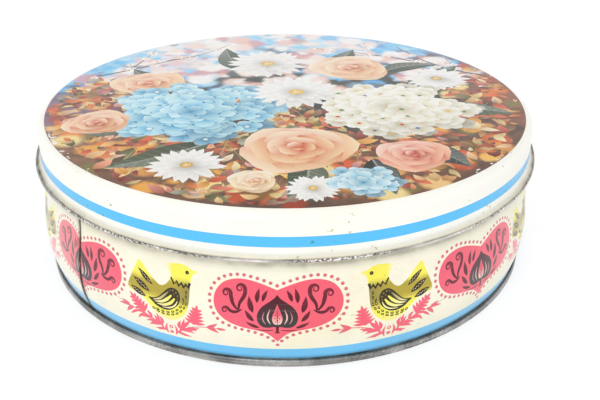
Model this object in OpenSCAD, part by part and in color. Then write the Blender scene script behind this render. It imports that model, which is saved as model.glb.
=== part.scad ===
// Round lithographed tin with a slip-over lid.
// Three pieces of tinplate: a drawn lid, a rolled wall with a lock seam down its side,
// and a pressed bottom that is double-seamed to the wall.
// Millimetres, +Z up. The origin is the middle of the circle that the tin stands on.

/* [Sheet] */
// Thickness of the tinplate
sheet_t = 0.28; // [0.22:0.02:0.34]
// Free space between the folded layers of the bottom seam
fold_gap = 0.06; // [0.05:0.01:0.1]
// Free space between the folded layers of the side seam
lock_gap = 0.1; // [0.08:0.01:0.14]

/* [Wall] */
// Height of the wall, from the foot of the tin to the top of its rolled edge
wall_h = 53.8; // [46:0.2:80]
// Outer radius of the neck, which the lid slips over, and of the wall at its foot
neck_r = 92.2; // [80:0.2:110]
// How far the belly of the wall stands out beyond the neck
belly_out = 2.3; // [1:0.1:2.6]
// Height of the widest part of the belly
belly_z = 15.4; // [13:0.2:22]
// Outer radius of the roll along the wall's top edge
curl_r = 1.1; // [0.9:0.1:1.3]

/* [Side seam] */
// Direction of the side seam, in degrees from +X
seam_az = 223; // [180:1:270]
// Width of the hooks that lock the two ends of the sheet together
hook_w = 3.6; // [2.5:0.1:5]
// Width of the groove that the seam leaves on the outside
groove_w = 0.5; // [0.3:0.1:0.8]

/* [Bottom] */
// Height of the double seam that joins the bottom to the wall
foot_h = 2.6; // [2.4:0.1:4]
// Height of the bottom's panel above the foot of the tin
panel_z = 3.9; // [3.6:0.1:6]
// Bend radius where the panel turns down into the seam
panel_bend = 1; // [0.6:0.1:1.5]
// Radius of the stiffening ring pressed into the panel
ring_r = 78; // [60:1:84]
// Width of the stiffening ring
ring_w = 6; // [4:0.5:10]
// How far the stiffening ring stands up
ring_h = 0.7; // [0.4:0.1:1.2]

/* [Lid] */
// Height of the lid, from its top to the foot of its rolled edge
lid_h = 16; // [12:0.5:22]
// Radius of the lid's rounded shoulder
shoulder_r = 3.2; // [2.8:0.1:5]
// Clearance all round between the lid's skirt and the neck
lid_gap = 0.25; // [0.15:0.05:0.4]
// Height at which the shoulder hangs clear of the wall's rolled edge
seat_gap = 0.15; // [0.1:0.05:0.3]
// Outer radius of the roll along the lid's lower edge
hem_r = 1.25; // [1:0.05:1.5]
// Radius of the flare where the skirt swings out into the roll
flare_r = 2; // [1.6:0.1:3]

/* [Hidden] */

// Fineness of the bends, in degrees a step, and of the belly, in steps.
bend_step = 15;
belly_steps = 10;

// Layers of the double seam, counted outwards: the bottom's inner wall, the tin's wall,
// the bottom's hook, the wall's hook and the bottom's outer wall. Each is one pitch on.
pitch = sheet_t + fold_gap;
function layer(n) = neck_r - sheet_t / 2 + (n - 2) * pitch;
foot_bend_z = sheet_t + fold_gap + pitch + sheet_t / 2;
top_bend_z = foot_h - pitch - sheet_t / 2;
tip_gap = 0.1;
foot_edge_r = layer(5) + sheet_t / 2;

// The wall's rolled edge.
curl_x = neck_r - curl_r;
curl_z = wall_h - curl_r;
curl_end = 290;

// The lid rests on the rolled edge with the inside of its shoulder.
skirt_in = neck_r + lid_gap;
skirt_out = skirt_in + sheet_t;
flat_r = skirt_out - shoulder_r;
seat_reach = shoulder_r - sheet_t - curl_r;
shoulder_z = curl_z - sqrt(pow(seat_reach, 2) - pow(curl_x - flat_r, 2)) + seat_gap;
lid_top = shoulder_z + shoulder_r;
lid_foot = lid_top - lid_h;
hem_x = skirt_in + hem_r;
hem_z = lid_foot + hem_r;
hem_end = -240;
flare_x = skirt_out + flare_r;
flare_z = hem_z + sqrt(pow(hem_r + flare_r, 2) - pow(flare_x - hem_x, 2));
flare_turn = atan2(flare_z - hem_z, flare_x - hem_x);

// The belly starts just under the lid and ends just above the double seam.
belly_top = lid_foot - 0.5;
belly_foot = foot_h + 0.3;
function rise(z) = (belly_top - z) / (belly_top - belly_z);
function fall(z) = (belly_z - z) / (belly_z - belly_foot);
function belly(z) =
    z >= belly_top || z <= belly_foot ? 0
    : z >= belly_z ? belly_out * (1 - cos(180 * rise(z))) / 2
    : belly_out * (1 - pow(fall(z), 2));
function wall_r(z) = neck_r + belly(z);
belly_zs = concat(
    [for (i = [0 : belly_steps]) belly_top + (belly_z - belly_top) * i / belly_steps],
    [for (i = [1 : belly_steps]) belly_z + (belly_foot - belly_z) * i / belly_steps]);

// Points along a bend: middle, radius, first and last angle.
function bend(x, z, r, a, b) =
    let (n = ceil(abs(b - a) / bend_step))
    [for (i = [0 : n]) [x + r * cos(a + (b - a) * i / n), z + r * sin(a + (b - a) * i / n)]];

// The outline of a sheet that follows a path, half its thickness on either side.
function unit(v) = v / norm(v);
function side(p, i) = let (d = unit(p[i + 1] - p[i])) [-d[1], d[0]];
function mitre(p, i) =
    let (a = side(p, max(i - 1, 0)), b = side(p, min(i, len(p) - 2))) (a + b) / (1 + a * b);
function outline(p) = concat(
    [for (i = [0 : len(p) - 1]) p[i] + sheet_t / 2 * mitre(p, i)],
    [for (i = [len(p) - 1 : -1 : 0]) p[i] - sheet_t / 2 * mitre(p, i)]);

module spun(path) rotate_extrude($fn = 180) polygon(outline(path));

// The pressed bottom, from the middle of its panel to the tip of its hook.
function ring_lift(x) =
    abs(x - ring_r) >= ring_w / 2 ? 0 : ring_h * (1 + cos(360 * (x - ring_r) / ring_w)) / 2;
panel_mid = panel_z - sheet_t / 2;
bottom_path = concat(
    [[0, panel_mid]],
    [for (i = [0 : 12]) let (x = ring_r + ring_w * (i / 12 - 0.5)) [x, panel_mid + ring_lift(x)]],
    bend(layer(1) - panel_bend, panel_mid - panel_bend, panel_bend, 90, 0),
    bend(layer(1) + pitch, sheet_t / 2 + pitch, pitch, 180, 270),
    bend(layer(5) - pitch, sheet_t / 2 + pitch, pitch, 270, 360),
    bend(layer(4), top_bend_z, pitch, 0, 180),
    [[layer(3), foot_bend_z + tip_gap]]);

module bottom() color("silver") spun(bottom_path);

// The wall, from the cut edge inside its roll to the tip of its hook in the double seam.
wall_path = concat(
    bend(curl_x, curl_z, curl_r - sheet_t / 2, curl_end, 0),
    [for (z = belly_zs) [wall_r(z) - sheet_t / 2, z]],
    bend(layer(3), foot_bend_z, pitch, 180, 360),
    [[layer(4), top_bend_z - tip_gap]]);

// The lock seam: both ends of the sheet are folded back and hooked into each other,
// inside the wall. Widths run along the wall from the seam's groove.
lock_pitch = sheet_t + lock_gap;
lock_top = curl_z - curl_r - 0.6;
lock_foot = foot_h + 1;
lock_zs = [for (z = belly_zs) if (z < lock_top - 1 && z > lock_foot + 0.5) z];

// How deep a fold is rooted in the next one, how far its ends are notched back from the
// next one's, and how far a corner is stepped, so that no two faces lie in one another.
root = 0.08;
notch = 0.1;
step = 0.03;

function along(w) = w / neck_r * 180 / PI;
function band(out, deep, past) =
    let (zs = concat([lock_top + past], lock_zs, [lock_foot - past]))
    concat(
        [for (z = zs) [wall_r(z) - out, z]],
        [for (i = [len(zs) - 1 : -1 : 0]) [wall_r(zs[i]) - deep, zs[i]]]);

// A strip of the seam from width a to width b, between two depths under the outside.
module strip(a, b, out, deep, past = 0)
    rotate([0, 0, along(a)])
    rotate_extrude(angle = along(b - a), $fn = 180)
    polygon(band(out, deep, past));

module near_hook() {
    deep = 2 * lock_pitch;
    strip(0, sheet_t, sheet_t - root, deep + sheet_t - step);
    strip(sheet_t - root, hook_w, deep, deep + sheet_t, -notch);
}

module far_hook() {
    deep = 3 * lock_pitch;
    turn = hook_w + lock_gap;
    strip(-groove_w - sheet_t, -groove_w, sheet_t - root, deep + sheet_t - step);
    strip(-groove_w - root, turn + root, deep, deep + sheet_t, -notch);
    strip(turn, turn + sheet_t, lock_pitch + step, deep + sheet_t - step, -2 * notch);
    strip(sheet_t + lock_gap, turn + root, lock_pitch, lock_pitch + sheet_t, -notch);
}

module wall() color("ivory") rotate([0, 0, seam_az]) {
    difference() {
        spun(wall_path);
        strip(-groove_w, 0, -1, sheet_t + lock_gap / 2, 0.2);
    }
    near_hook();
    far_hook();
}

// The drawn lid, from the middle of its top to the cut edge inside its roll.
hem_path = bend(hem_x, hem_z, hem_r - sheet_t / 2, flare_turn, hem_end);
lid_path = concat(
    [[0, lid_top - sheet_t / 2]],
    bend(flat_r, shoulder_z, shoulder_r - sheet_t / 2, 90, 0),
    bend(flare_x, flare_z, flare_r + sheet_t / 2, 180, 180 + flare_turn),
    [for (i = [1 : len(hem_path) - 1]) hem_path[i]]);

module lid() color("ivory") spun(lid_path);

bottom();
wall();
lid();
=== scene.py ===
import bpy
import numpy as np
from mathutils import Matrix, Vector
from mathutils.geometry import delaunay_2d_cdt


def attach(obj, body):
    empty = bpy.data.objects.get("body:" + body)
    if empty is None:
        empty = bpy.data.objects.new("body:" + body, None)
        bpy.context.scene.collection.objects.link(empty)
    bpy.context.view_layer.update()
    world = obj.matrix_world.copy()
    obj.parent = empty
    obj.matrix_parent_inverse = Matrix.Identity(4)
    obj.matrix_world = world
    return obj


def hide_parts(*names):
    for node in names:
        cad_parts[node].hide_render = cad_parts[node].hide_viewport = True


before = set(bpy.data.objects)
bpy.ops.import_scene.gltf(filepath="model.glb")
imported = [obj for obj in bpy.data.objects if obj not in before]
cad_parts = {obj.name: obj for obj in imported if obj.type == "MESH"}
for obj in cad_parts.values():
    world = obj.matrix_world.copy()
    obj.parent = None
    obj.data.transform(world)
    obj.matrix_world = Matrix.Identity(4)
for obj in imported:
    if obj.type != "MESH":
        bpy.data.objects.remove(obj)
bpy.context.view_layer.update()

mm = 0.001  # a millimetre, in metres
pi = np.pi
flip = np.array([-1.0, 1.0])  # mirrors a point left to right


def linear(ink):
    # sRGB hex to linear light: the usual power curve with its straight foot; an ink that
    # is given as numbers is linear already
    if not isinstance(ink, str):
        return ink
    v = np.array([int(ink[i:i + 2], 16) for i in (0, 2, 4)]) / 255
    return np.where(v <= 0.04045, v / 12.92, ((v + 0.055) / 1.055) ** 2.4)


# the tin's own sizes, in mm, as the solids have them
tin = {
    "sheet": 0.28, "gap": 0.06, "height": 53.8, "neck": 92.2, "belly": 2.3, "bellyZ": 15.4,
    "curl": 1.1, "curlEnd": 290, "footH": 2.6, "panelZ": 3.9, "panelBend": 1.0, "ringR": 78.0,
    "ringW": 6.0, "ringH": 0.7, "lidH": 16.0, "shoulder": 3.2, "lidGap": 0.25, "seatGap": 0.15,
    "hem": 1.25, "hemEnd": -240, "flare": 2.0, "seamAz": 223.0,
    "heartAz": -91.8,  # direction of the front heart's middle
    "printR": 90.0,  # radius of the lid's picture
    "arcR": 93.5,  # radius at which the wall's print is measured
}
half = tin["sheet"] / 2
pitch = tin["sheet"] + tin["gap"]
curlX, curlZ = tin["neck"] - tin["curl"], tin["height"] - tin["curl"]
skirtIn = tin["neck"] + tin["lidGap"]
skirtOut = skirtIn + tin["sheet"]
flatR = skirtOut - tin["shoulder"]
seatReach = tin["shoulder"] - tin["sheet"] - tin["curl"]
shoulderZ = curlZ - (seatReach ** 2 - (curlX - flatR) ** 2) ** 0.5 + tin["seatGap"]
lidTop = shoulderZ + tin["shoulder"]
lidFoot = lidTop - tin["lidH"]
hemX, hemZ = skirtIn + tin["hem"], lidFoot + tin["hem"]
flareX = skirtOut + tin["flare"]
flareZ = hemZ + ((tin["hem"] + tin["flare"]) ** 2 - (flareX - hemX) ** 2) ** 0.5
flareTurn = np.degrees(np.arctan2(flareZ - hemZ, flareX - hemX))
bellyTop, bellyFoot = lidFoot - 0.5, tin["footH"] + 0.3
hookZ = tin["sheet"] + tin["gap"] + pitch + half  # middle of the wall's lower bend
seamTopZ = tin["footH"] - pitch - half  # middle of the bottom's upper bend


def layerR(n):
    # radius of the middle of layer n of the bottom seam, one pitch further out each
    return tin["neck"] - half + (n - 2) * pitch


def wallR(z):
    # neck radius plus the belly: a cosine rise from the lid down to the widest height,
    # then a parabola down to the seam
    up = np.clip((bellyTop - z) / (bellyTop - tin["bellyZ"]), 0, 1)
    down = np.clip((tin["bellyZ"] - z) / (tin["bellyZ"] - bellyFoot), 0, 1)
    out = np.where(z >= tin["bellyZ"], (1 - np.cos(pi * up)) / 2, 1 - down ** 2)
    return tin["neck"] + tin["belly"] * out


def ramp(x, a, b):
    # smooth step from 0 at a to 1 at b
    t = np.clip((x - a) / (b - a), 0, 1)
    return t * t * (3 - 2 * t)


def bell(x, middle, wide):
    # exp of minus the square of the distance from the middle, in widths
    return np.exp(-((x - middle) / wide) ** 2)


def towards(a):
    # unit vector in a direction, in radians
    return np.stack([np.cos(a), np.sin(a)], -1)


def turnedBy(points, a):
    # points turned about the origin by an angle in radians
    return points @ np.array([[np.cos(a), np.sin(a)], [-np.sin(a), np.cos(a)]])


def bend(x, z, r, a, b, step=9.0):
    # points along an arc about (x, z), from angle a to angle b in degrees
    t = np.radians(np.linspace(a, b, int(np.ceil(abs(b - a) / step)) + 1))
    return np.stack([x + r * np.cos(t), z + r * np.sin(t)], 1)


def through(points, per=6, closed=False):
    # Catmull-Rom curve through all the points: each span blends its four nearest points
    p = np.asarray(points, float)
    if closed:
        p = np.concatenate([p[-1:], p, p[:2]])
    else:
        p = np.concatenate([2 * p[:1] - p[1:2], p, 2 * p[-1:] - p[-2:-1]])
    t = np.linspace(0, 1, per, endpoint=False)[None, :, None]
    a, b, c, d = (p[k:len(p) - 3 + k, None] for k in range(4))
    q = 0.5 * (2 * b + (c - a) * t + (2 * a - 5 * b + 4 * c - d) * t ** 2
               + (3 * b - a - 3 * c + d) * t ** 3)
    q = q.reshape(-1, 2)
    return q if closed else np.concatenate([q, p[-2:-1]])


def lengths(path):
    # distance from the start of a path to each of its points
    return np.concatenate([[0], np.cumsum(np.hypot(*np.diff(path, axis=0).T))])


def evenly(path, count):
    # count points at equal distances along a path
    run = lengths(path)
    at = np.linspace(0, run[-1], count)
    return np.stack([np.interp(at, run, path[:, 0]), np.interp(at, run, path[:, 1])], 1)


def sides(path):
    # unit vector across the path at each of its points
    d = np.gradient(path, axis=0)
    d /= np.maximum(np.hypot(d[:, 0], d[:, 1]), 1e-9)[:, None]
    return np.stack([-d[:, 1], d[:, 0]], 1)


def across(d):
    # unit vector at right angles to d, to its left
    return np.array([-d[1], d[0]]) / np.hypot(*d)


def thickened(path, thick):
    # both faces of a sheet that follows a path, half its thickness on either side
    seg = np.diff(path, axis=0)
    n = np.stack([-seg[:, 1], seg[:, 0]], 1) / np.hypot(seg[:, 0], seg[:, 1])[:, None]
    a, b = np.concatenate([n[:1], n]), np.concatenate([n, n[-1:]])
    m = (a + b) / (1 + (a * b).sum(1))[:, None]
    return path + thick / 2 * m, path - thick / 2 * m


class Print:
    # flat shapes laid one over another, each in an ink that runs from its root to its tip
    def __init__(self):
        self.loops, self.owner = [], []
        self.inkA, self.inkB, self.root, self.axis, self.kind = [], [], [], [], []

    def ink(self, root, tip, inkA, inkB=None, kind=0):
        # the ink of the next outlines; returns its number
        self.inkA.append(linear(inkA))
        self.inkB.append(self.inkA[-1] if inkB is None else linear(inkB))
        self.root.append(root)
        self.axis.append(np.subtract(tip, root))
        self.kind.append(kind)
        return len(self.inkA) - 1

    def shape(self, loop, inkA, inkB=None, root=(0, 0), tip=(0, 1), kind=0):
        # one outline in an ink of its own
        self.outline(loop, self.ink(root, tip, inkA, inkB, kind))

    def outline(self, loop, number):
        # twice the signed area is negative on a clockwise loop, which is turned round
        x, y = loop.T
        area = (x * np.roll(y, -1) - y * np.roll(x, -1)).sum()
        self.loops.append(loop if area > 0 else loop[::-1])
        self.owner.append(number)

    def leaf(self, root, tip, width, inkA, inkB=None, bow=0.0, fat=0.8, count=9):
        # half width times sin(pi t^fat) either side of the line from root to tip, which
        # a parabola bows sideways
        root, tip = np.asarray(root, float), np.asarray(tip, float)
        d = tip - root
        n = across(d)
        t = np.linspace(0, 1, count)
        spine = root + t[:, None] * d + n * (bow * 4 * t * (1 - t))[:, None]
        w = (width / 2 * np.sin(pi * t ** fat))[:, None] * n
        self.shape(np.concatenate([spine + w, (spine - w)[-2:0:-1]]), inkA, inkB, root, tip)

    def dot(self, centre, radius, inkA, count=9, squash=1.0, turn=0.0):
        # ellipse about centre, its second radius squashed, turned by an angle in degrees
        t = np.linspace(0, 2 * pi, count, endpoint=False)
        e = np.stack([radius * np.cos(t), radius * squash * np.sin(t)], 1)
        self.shape(np.asarray(centre) + turnedBy(e, np.radians(turn)), inkA)

    def stroke(self, path, width, inkA, inkB=None):
        # row of quads along a path; widths are spread evenly from its start to its end
        w = np.interp(np.linspace(0, 1, len(path)), np.linspace(0, 1, len(width)), width)
        n = sides(path) * w[:, None] / 2
        a, b = path + n, path - n
        number = self.ink(path[0], path[-1], inkA, inkB)
        for k in range(len(path) - 1):
            self.outline(np.stack([b[k], b[k + 1], a[k + 1], a[k]]), number)


def printSheet(art, extra, links, keep):
    # every outline, and the extra points with their links, go through one constrained
    # Delaunay triangulation; each triangle belongs to the last shape laid over it
    points, edges, faces, n = [np.asarray(extra)], np.asarray(links).reshape(-1, 2), [], len(extra)
    for loop in art.loops:
        points.append(loop)
        faces.append(list(range(n, n + len(loop))))
        n += len(loop)
    got = delaunay_2d_cdt(np.concatenate(points).tolist(), edges.tolist(), faces, 0, 1e-5)
    co = np.array([v[:] for v in got[0]])
    tri = np.array([f[:3] for f in got[2]])
    top = np.array([max(o, default=-1) for o in got[5]])
    inside = keep(co[tri].mean(1))
    tri, top = tri[inside], top[inside]
    a, b, c = (co[tri[:, k]] for k in range(3))
    area = (b[:, 0] - a[:, 0]) * (c[:, 1] - a[:, 1]) - (b[:, 1] - a[:, 1]) * (c[:, 0] - a[:, 0])
    tri = np.where((area > 0)[:, None], tri, tri[:, ::-1])
    used, tri = np.unique(tri, return_inverse=True)
    owner = np.concatenate([art.owner, [-1]])[top]
    return co[used], tri.reshape(-1, 3), owner


def inked(art, owner, at, ground):
    # colour at each corner: its shape's two inks mixed by how far it is from root to tip
    inkA, inkB = np.array(art.inkA + [[0, 0, 0]]), np.array(art.inkB + [[0, 0, 0]])
    root, axis = np.array(art.root + [(0, 0)]), np.array(art.axis + [(0, 1)])
    o = owner[:, None] * np.ones(3, int)
    t = np.clip(((at - root[o]) * axis[o]).sum(-1) / (axis[o] ** 2).sum(-1), 0, 1)[..., None]
    colour = inkA[o] * (1 - t) + inkB[o] * t
    return np.where((owner < 0)[:, None, None], ground, colour)


def welded(co, faces):
    # corners at the same place, to a tenth of a micron, become one vertex
    key, back = np.unique(np.round(co * 1e4).astype(np.int64), axis=0, return_inverse=True)
    first = np.zeros(len(key), int)
    first[back.ravel()[::-1]] = np.arange(len(co))[::-1]
    return co[first], [back.ravel()[f] for f in faces], first


def around(r, angles, z):
    # place at a radius, a direction in degrees and a height
    a = np.radians(angles)
    return np.stack([r * np.cos(a), r * np.sin(a), z + 0 * a], -1)


def revolved(path, angles):
    # grid of points: each point of the path carried round the axis to every angle
    return around(path[:, None, 0], angles, path[:, None, 1])


def gridQuads(rows, cols, wrap=True):
    # quads between neighbours of a grid, closed round its columns
    r, c = np.meshgrid(np.arange(rows - 1), np.arange(cols if wrap else cols - 1), indexing="ij")
    d = (c + 1) % cols
    quads = [r * cols + c, r * cols + d, (r + 1) * cols + d, (r + 1) * cols + c]
    return np.stack(quads, -1).reshape(-1, 4)


def middleOf(angles):
    # mean direction of each face's corners, from 0 to 360 degrees
    return np.degrees(np.angle(np.exp(1j * np.radians(angles)).mean(1))) % 360


def strip(angles, v, rows, scale, u0, v0, step):
    # map coordinates of a band round the tin: cut in equal rows one over another; a
    # face stays whole in the row that holds its middle
    mid = middleOf(angles)
    a = mid[:, None] + (angles - mid[:, None] + 180) % 360 - 180
    row = np.floor(mid / (360 / rows))
    u = u0 + (a - row[:, None] * (360 / rows)) * scale
    return np.stack([u, v0 + row[:, None] * step + v + 0 * u], -1)


def meshPiece(name, co, faces, corners, material, normal=None):
    # faces is a list of index arrays, corners a dictionary of one value per face corner,
    # each in pieces to be joined; a normal of zero length is left to Blender
    me = bpy.data.meshes.new(name)
    loops = np.concatenate([f.ravel() for f in faces])
    sizes = np.concatenate([np.full(len(f), f.shape[1]) for f in faces])
    me.vertices.add(len(co))
    me.vertices.foreach_set("co", (co * mm).ravel())
    me.loops.add(len(loops))
    me.loops.foreach_set("vertex_index", loops)
    me.polygons.add(len(sizes))
    me.polygons.foreach_set("loop_start", np.concatenate([[0], np.cumsum(sizes)[:-1]]))
    me.update(calc_edges=True)
    kinds = {1: ("FLOAT", "value"), 3: ("FLOAT_COLOR", "color")}
    for key, parts in corners.items():
        width = parts[0].shape[-1] if parts[0].ndim > 1 else 1
        value = np.concatenate([p.reshape(-1, width) for p in parts]).astype(np.float32)
        if width == 2:
            me.uv_layers.new(name=key).data.foreach_set("uv", value.ravel())
            continue
        if width == 3:
            value = np.concatenate([value, np.ones((len(value), 1), np.float32)], 1)
        kind, field = kinds[width]
        me.attributes.new(key, kind, "CORNER").data.foreach_set(field, value.ravel())
    me.polygons.foreach_set("use_smooth", np.ones(len(sizes), bool))
    me.validate()
    if normal is not None:
        me.normals_split_custom_set_from_vertices(normal.tolist())
    ob = bpy.data.objects.new(name, me)
    bpy.context.scene.collection.objects.link(ob)
    me.materials.append(material)
    return ob


# the wall's print: hearts and birds in folk manner, s along the wall and z up, in mm
sectors = 8  # a sector runs from the middle of one heart to the next, and is mirrored
sectorTurn = 360 / sectors
sectorLen = tin["arcR"] * pi / 4
wallMm = tin["arcR"] * pi / 180  # length of a degree of the print
frieze = {
    "pink": "F9647A", "pinkTip": "F8687E", "rose": "DE7482", "maroon": "521222", "char": "3E3A3C",
    "pale": "FBE3DC", "blush": "F3AEB4", "bean": "7B2335",
    "yellow": "FFF660", "lemon": "FFF6B4", "olive": "B9A638", "moss": "8D8650", "umber": "362B10",
    "stripe": "6CCBFF", "cream": "FDF9E4",
    "stripeTop": 8.1, "low": 3.45, "high": 40.6,  # heights in the drawing
    "lift": -0.6,  # from the drawing's heights to the tin's
    "dots": 27, "dotR": 0.62,  # round half a heart
}
heartEdge = [(0, 29.6), (4.8, 31.6), (9.2, 32.8), (13.2, 32.85), (16.9, 31.5), (19.4, 28.6),
             (20.2, 25.1), (19.2, 21.6), (16.6, 18.9), (12.6, 17.0), (8.4, 16.0), (4.6, 15.2),
             (2.3, 13.9), (0, 11.4)]
dotLine = [(0, 31.0), (3.4, 32.4), (7.6, 33.7), (11.8, 34.35), (16, 33.6), (19.3, 31.6),
           (21.2, 28.4), (21.5, 24.9), (20.6, 21.4), (18.3, 18.4), (14.6, 16.6), (10.5, 15.6),
           (6.4, 14.7), (3.4, 13.4), (1.3, 11.7), (0, 10.0)]
tulipEdge = [(0, 28.1), (0.9, 26.9), (2.6, 25.6), (4.6, 24.1), (5.9, 22.2), (6.25, 20.1),
             (5.7, 18.2), (4.4, 17.0), (2.6, 16.8), (1.2, 17.1), (0, 17.0)]
tulipHeart = [(0, 25.0), (0.75, 22.9), (1.45, 21.0), (1.55, 19.4), (1.0, 18.2), (0, 17.9)]
tulipFoot = [(-.45, 17.2), (-.38, 15.7), (-.8, 14.7), (-.2, 14.95), (0, 14.4), (.2, 14.95),
             (.8, 14.7), (.38, 15.7), (.45, 17.2)]
tulipVeins = [  # path, widths, inks
    ([(2.1, 18.1), (2.85, 19.6), (2.9, 21.2), (2.2, 23.2)], (0.12, 0.45, 0.45, 0.1), "pale", "blush"),
    ([(3.6, 18.1), (4.35, 19.4), (4.45, 20.8), (3.9, 22.4)], (0.1, 0.3, 0.3, 0.08), "blush", "rose")]
tulipSeeds = [(0, 23.2, .16), (.3, 22.5, .17), (-.3, 22.5, .17), (0, 21.9, .22), (.5, 21.3, .19),
              (-.5, 21.3, .19), (0, 20.7, .26), (.6, 20.1, .2), (-.6, 20.1, .2), (0, 19.5, .26),
              (.5, 18.9, .18), (-.5, 18.9, .18)]
heartLeaves = [((4.5, 25.7), (2.8, 29.6), 1.3), ((6.2, 25.2), (5.4, 30.2), 1.45),
               ((7.5, 21.9), (8.7, 27.5), 1.8), ((7.2, 18.9), (10.0, 22.8), 1.45),
               ((5.4, 16.7), (9.9, 18.7), 1.1), ((0.8, 15.9), (7.0, 16.1), 0.4)]
curls = [  # the way up, then a spiral: its middle, first angle, turn and radius, and the widths
    ([(12.0, 22.6), (11.7, 24.8), (10.3, 27.2), (9.75, 29.0)], (11.5, 29.75), 172, -440, 1.6,
     (0.55, 1.2, 1.3, 0.55, 0.4, 0.2)),
    ([(12.3, 22.6), (13.7, 24.4), (14.3, 26.3), (14.6, 27.8)], (16.0, 28.0), 172, -440, 1.5,
     (0.55, 1.25, 1.3, 0.6, 0.42, 0.2)),
    ([(11.0, 22.9), (12.3, 22.05), (13.9, 21.85), (15.3, 22.5)], (16.45, 22.25), 150, -430, 1.2,
     (0.3, 1.05, 1.0, 0.5, 0.36, 0.2))]


def halves(edge, per=5):
    # a half outline from its top to its tip, closed by its mirror image
    a = through(edge, per)
    return np.concatenate([a, (a * flip)[-2:0:-1]])


def curlPath(via, centre, start, turn, radius):
    # the way up through the given points, then a spiral whose radius falls to a fifth
    t = np.linspace(0, 1, 22)
    r = radius * (1 - 0.8 * t[:, None] ** 0.8)
    spiral = np.asarray(centre) + r * towards(np.radians(start + turn * t))
    return np.concatenate([through(via, 4)[:-1], spiral])


def drawHeart(art, at):
    # every half is laid twice, the second time mirrored; at is the heart's place along s
    f, move = frieze, np.array([at, 0.0])
    art.shape(halves(heartEdge) + move, f["pink"], f["pinkTip"], (at, 30), (at, 12))
    for p in evenly(through(dotLine, 6), f["dots"]):
        for side in (1, -1) if p[0] > 0.1 else (1,):
            art.dot(p * (side, 1) + move, f["dotR"], f["rose"])
    art.shape(halves(tulipEdge, 4) + move, f["char"], f["maroon"], (at, 19.5), (at, 26))
    for side in (1, -1):
        k = np.array([side, 1.0])
        for root, tip, width in heartLeaves:
            art.leaf(root * k + move, tip * k + move, width, f["maroon"], f["bean"],
                     bow=-0.25 * side, count=8)
        for *curl, widths in curls:
            art.stroke(curlPath(*curl) * k + move, widths, f["maroon"], f["bean"])
    art.shape(halves(tulipHeart, 3) + move, f["pale"], f["pink"], (at, 17.5), (at, 21.5))
    for side in (1, -1):
        for path, widths, a, b in tulipVeins:
            art.stroke(through(path, 3) * (side, 1.0) + move, widths, f[a], f[b])
    art.stroke(np.array([(0, 18.0), (0, 20.5), (0, 23.0)]) + move, (0.22, 0.16, 0.1), f["maroon"])
    for x, z, r in tulipSeeds:
        art.dot((at + x, z), r, f["maroon"], 6)
    art.shape(np.array(tulipFoot) + move, f["maroon"])


birdEdge = [(25.4, 33.6), (27.8, 34.1), (29.6, 35.2), (32.5, 35.4), (36.4, 34.6), (35.3, 32.4),
            (34.9, 30.6), (35.6, 29.0), (37.0, 27.4), (38.6, 26.9), (40.2, 27.7), (42.2, 29.3),
            (44.3, 31.5), (46.6, 33.4), (47.9, 31.0), (49.3, 27.6), (50.6, 23.2), (47.6, 21.9),
            (44.8, 21.0), (42.8, 19.3), (40.6, 17.2), (38.0, 15.9), (35.2, 15.3), (32.6, 16.2),
            (30.4, 18.2), (29.0, 20.9), (28.5, 24.0), (28.3, 27.0), (28.0, 29.6), (27.7, 31.5),
            (27.0, 32.6)]
collar = [(28.25, 29.5), (28.8, 27.9), (29.6, 28.9), (30.4, 27.8), (31.2, 29.1), (32.05, 28.0),
          (32.85, 29.4), (33.75, 28.3), (34.85, 30.4)]
wingEdge = [(31.6, 23.6), (31.8, 25.2), (32.8, 26.5), (34.4, 26.9), (36.0, 26.2), (37.6, 24.6),
            (39.2, 22.9), (40.8, 22.0), (42.9, 21.7), (41.6, 20.6), (40.0, 19.4), (37.6, 18.7),
            (35.2, 19.0), (33.2, 20.4), (32.0, 22.0)]
wingBars = [  # path, widths, inks
    ([(35.7, 25.3), (37.3, 23.6), (39.0, 22.1), (41.2, 21.3)], (0.35, 0.75, 0.7, 0.15), "moss", "lemon"),
    ([(34.6, 24.3), (36.2, 22.6), (38.2, 21.3), (40.7, 20.8)], (0.5, 1.1, 0.9, 0.15), "yellow", "lemon"),
    ([(33.5, 23.4), (34.9, 21.6), (37.2, 20.4), (39.8, 20.2)], (0.5, 1.05, 0.85, 0.15), "yellow", "lemon"),
    ([(32.5, 22.7), (33.5, 20.9), (35.4, 19.75), (38.0, 19.45)], (0.2, 0.55, 0.5, 0.12), "lemon", "lemon")]
wingDots = [(32.45, 24.4, .34), (33.05, 25.45, .34), (34.1, 26.05, .34), (33.75, 24.75, .24),
            (35.1, 25.85, .26), (32.5, 23.4, .24)]
tailFeathers = [((41.4, 26.2), (46.9, 30.6), 1.75), ((42.4, 23.6), (48.5, 27.1), 2.1),
                ((43.7, 21.5), (49.7, 23.7), 1.95)]
breastRows = [  # rows of flecks under the wing, and how many
    ([(29.5, 22.3), (30.8, 20.0), (32.9, 18.2), (35.6, 17.2), (38.6, 17.2), (41.0, 18.2)], 9),
    ([(30.6, 22.4), (31.9, 20.3), (33.9, 18.75), (36.6, 17.95), (39.6, 18.2)], 7)]
breastFlecks = [(29.55, 24.7, 85), (29.5, 26.2, 88), (30.5, 23.6, 70)]  # s, z, direction
birdTones = {
    "belly": (19.9, 3.4), "slope": (0.06, 30),  # from yellow into olive; lower towards the head
    "neck": (28.5, 30.6), "tail": (1.5, 38, 43),  # from olive into yellow; lower on the tail
    "mossy": (34, 5, 0.75),  # the breast darkens in front of here
    "paler": 0.6, "crest": 0.8,  # strength of the lemon edges and of the crest's fade
}


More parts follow.
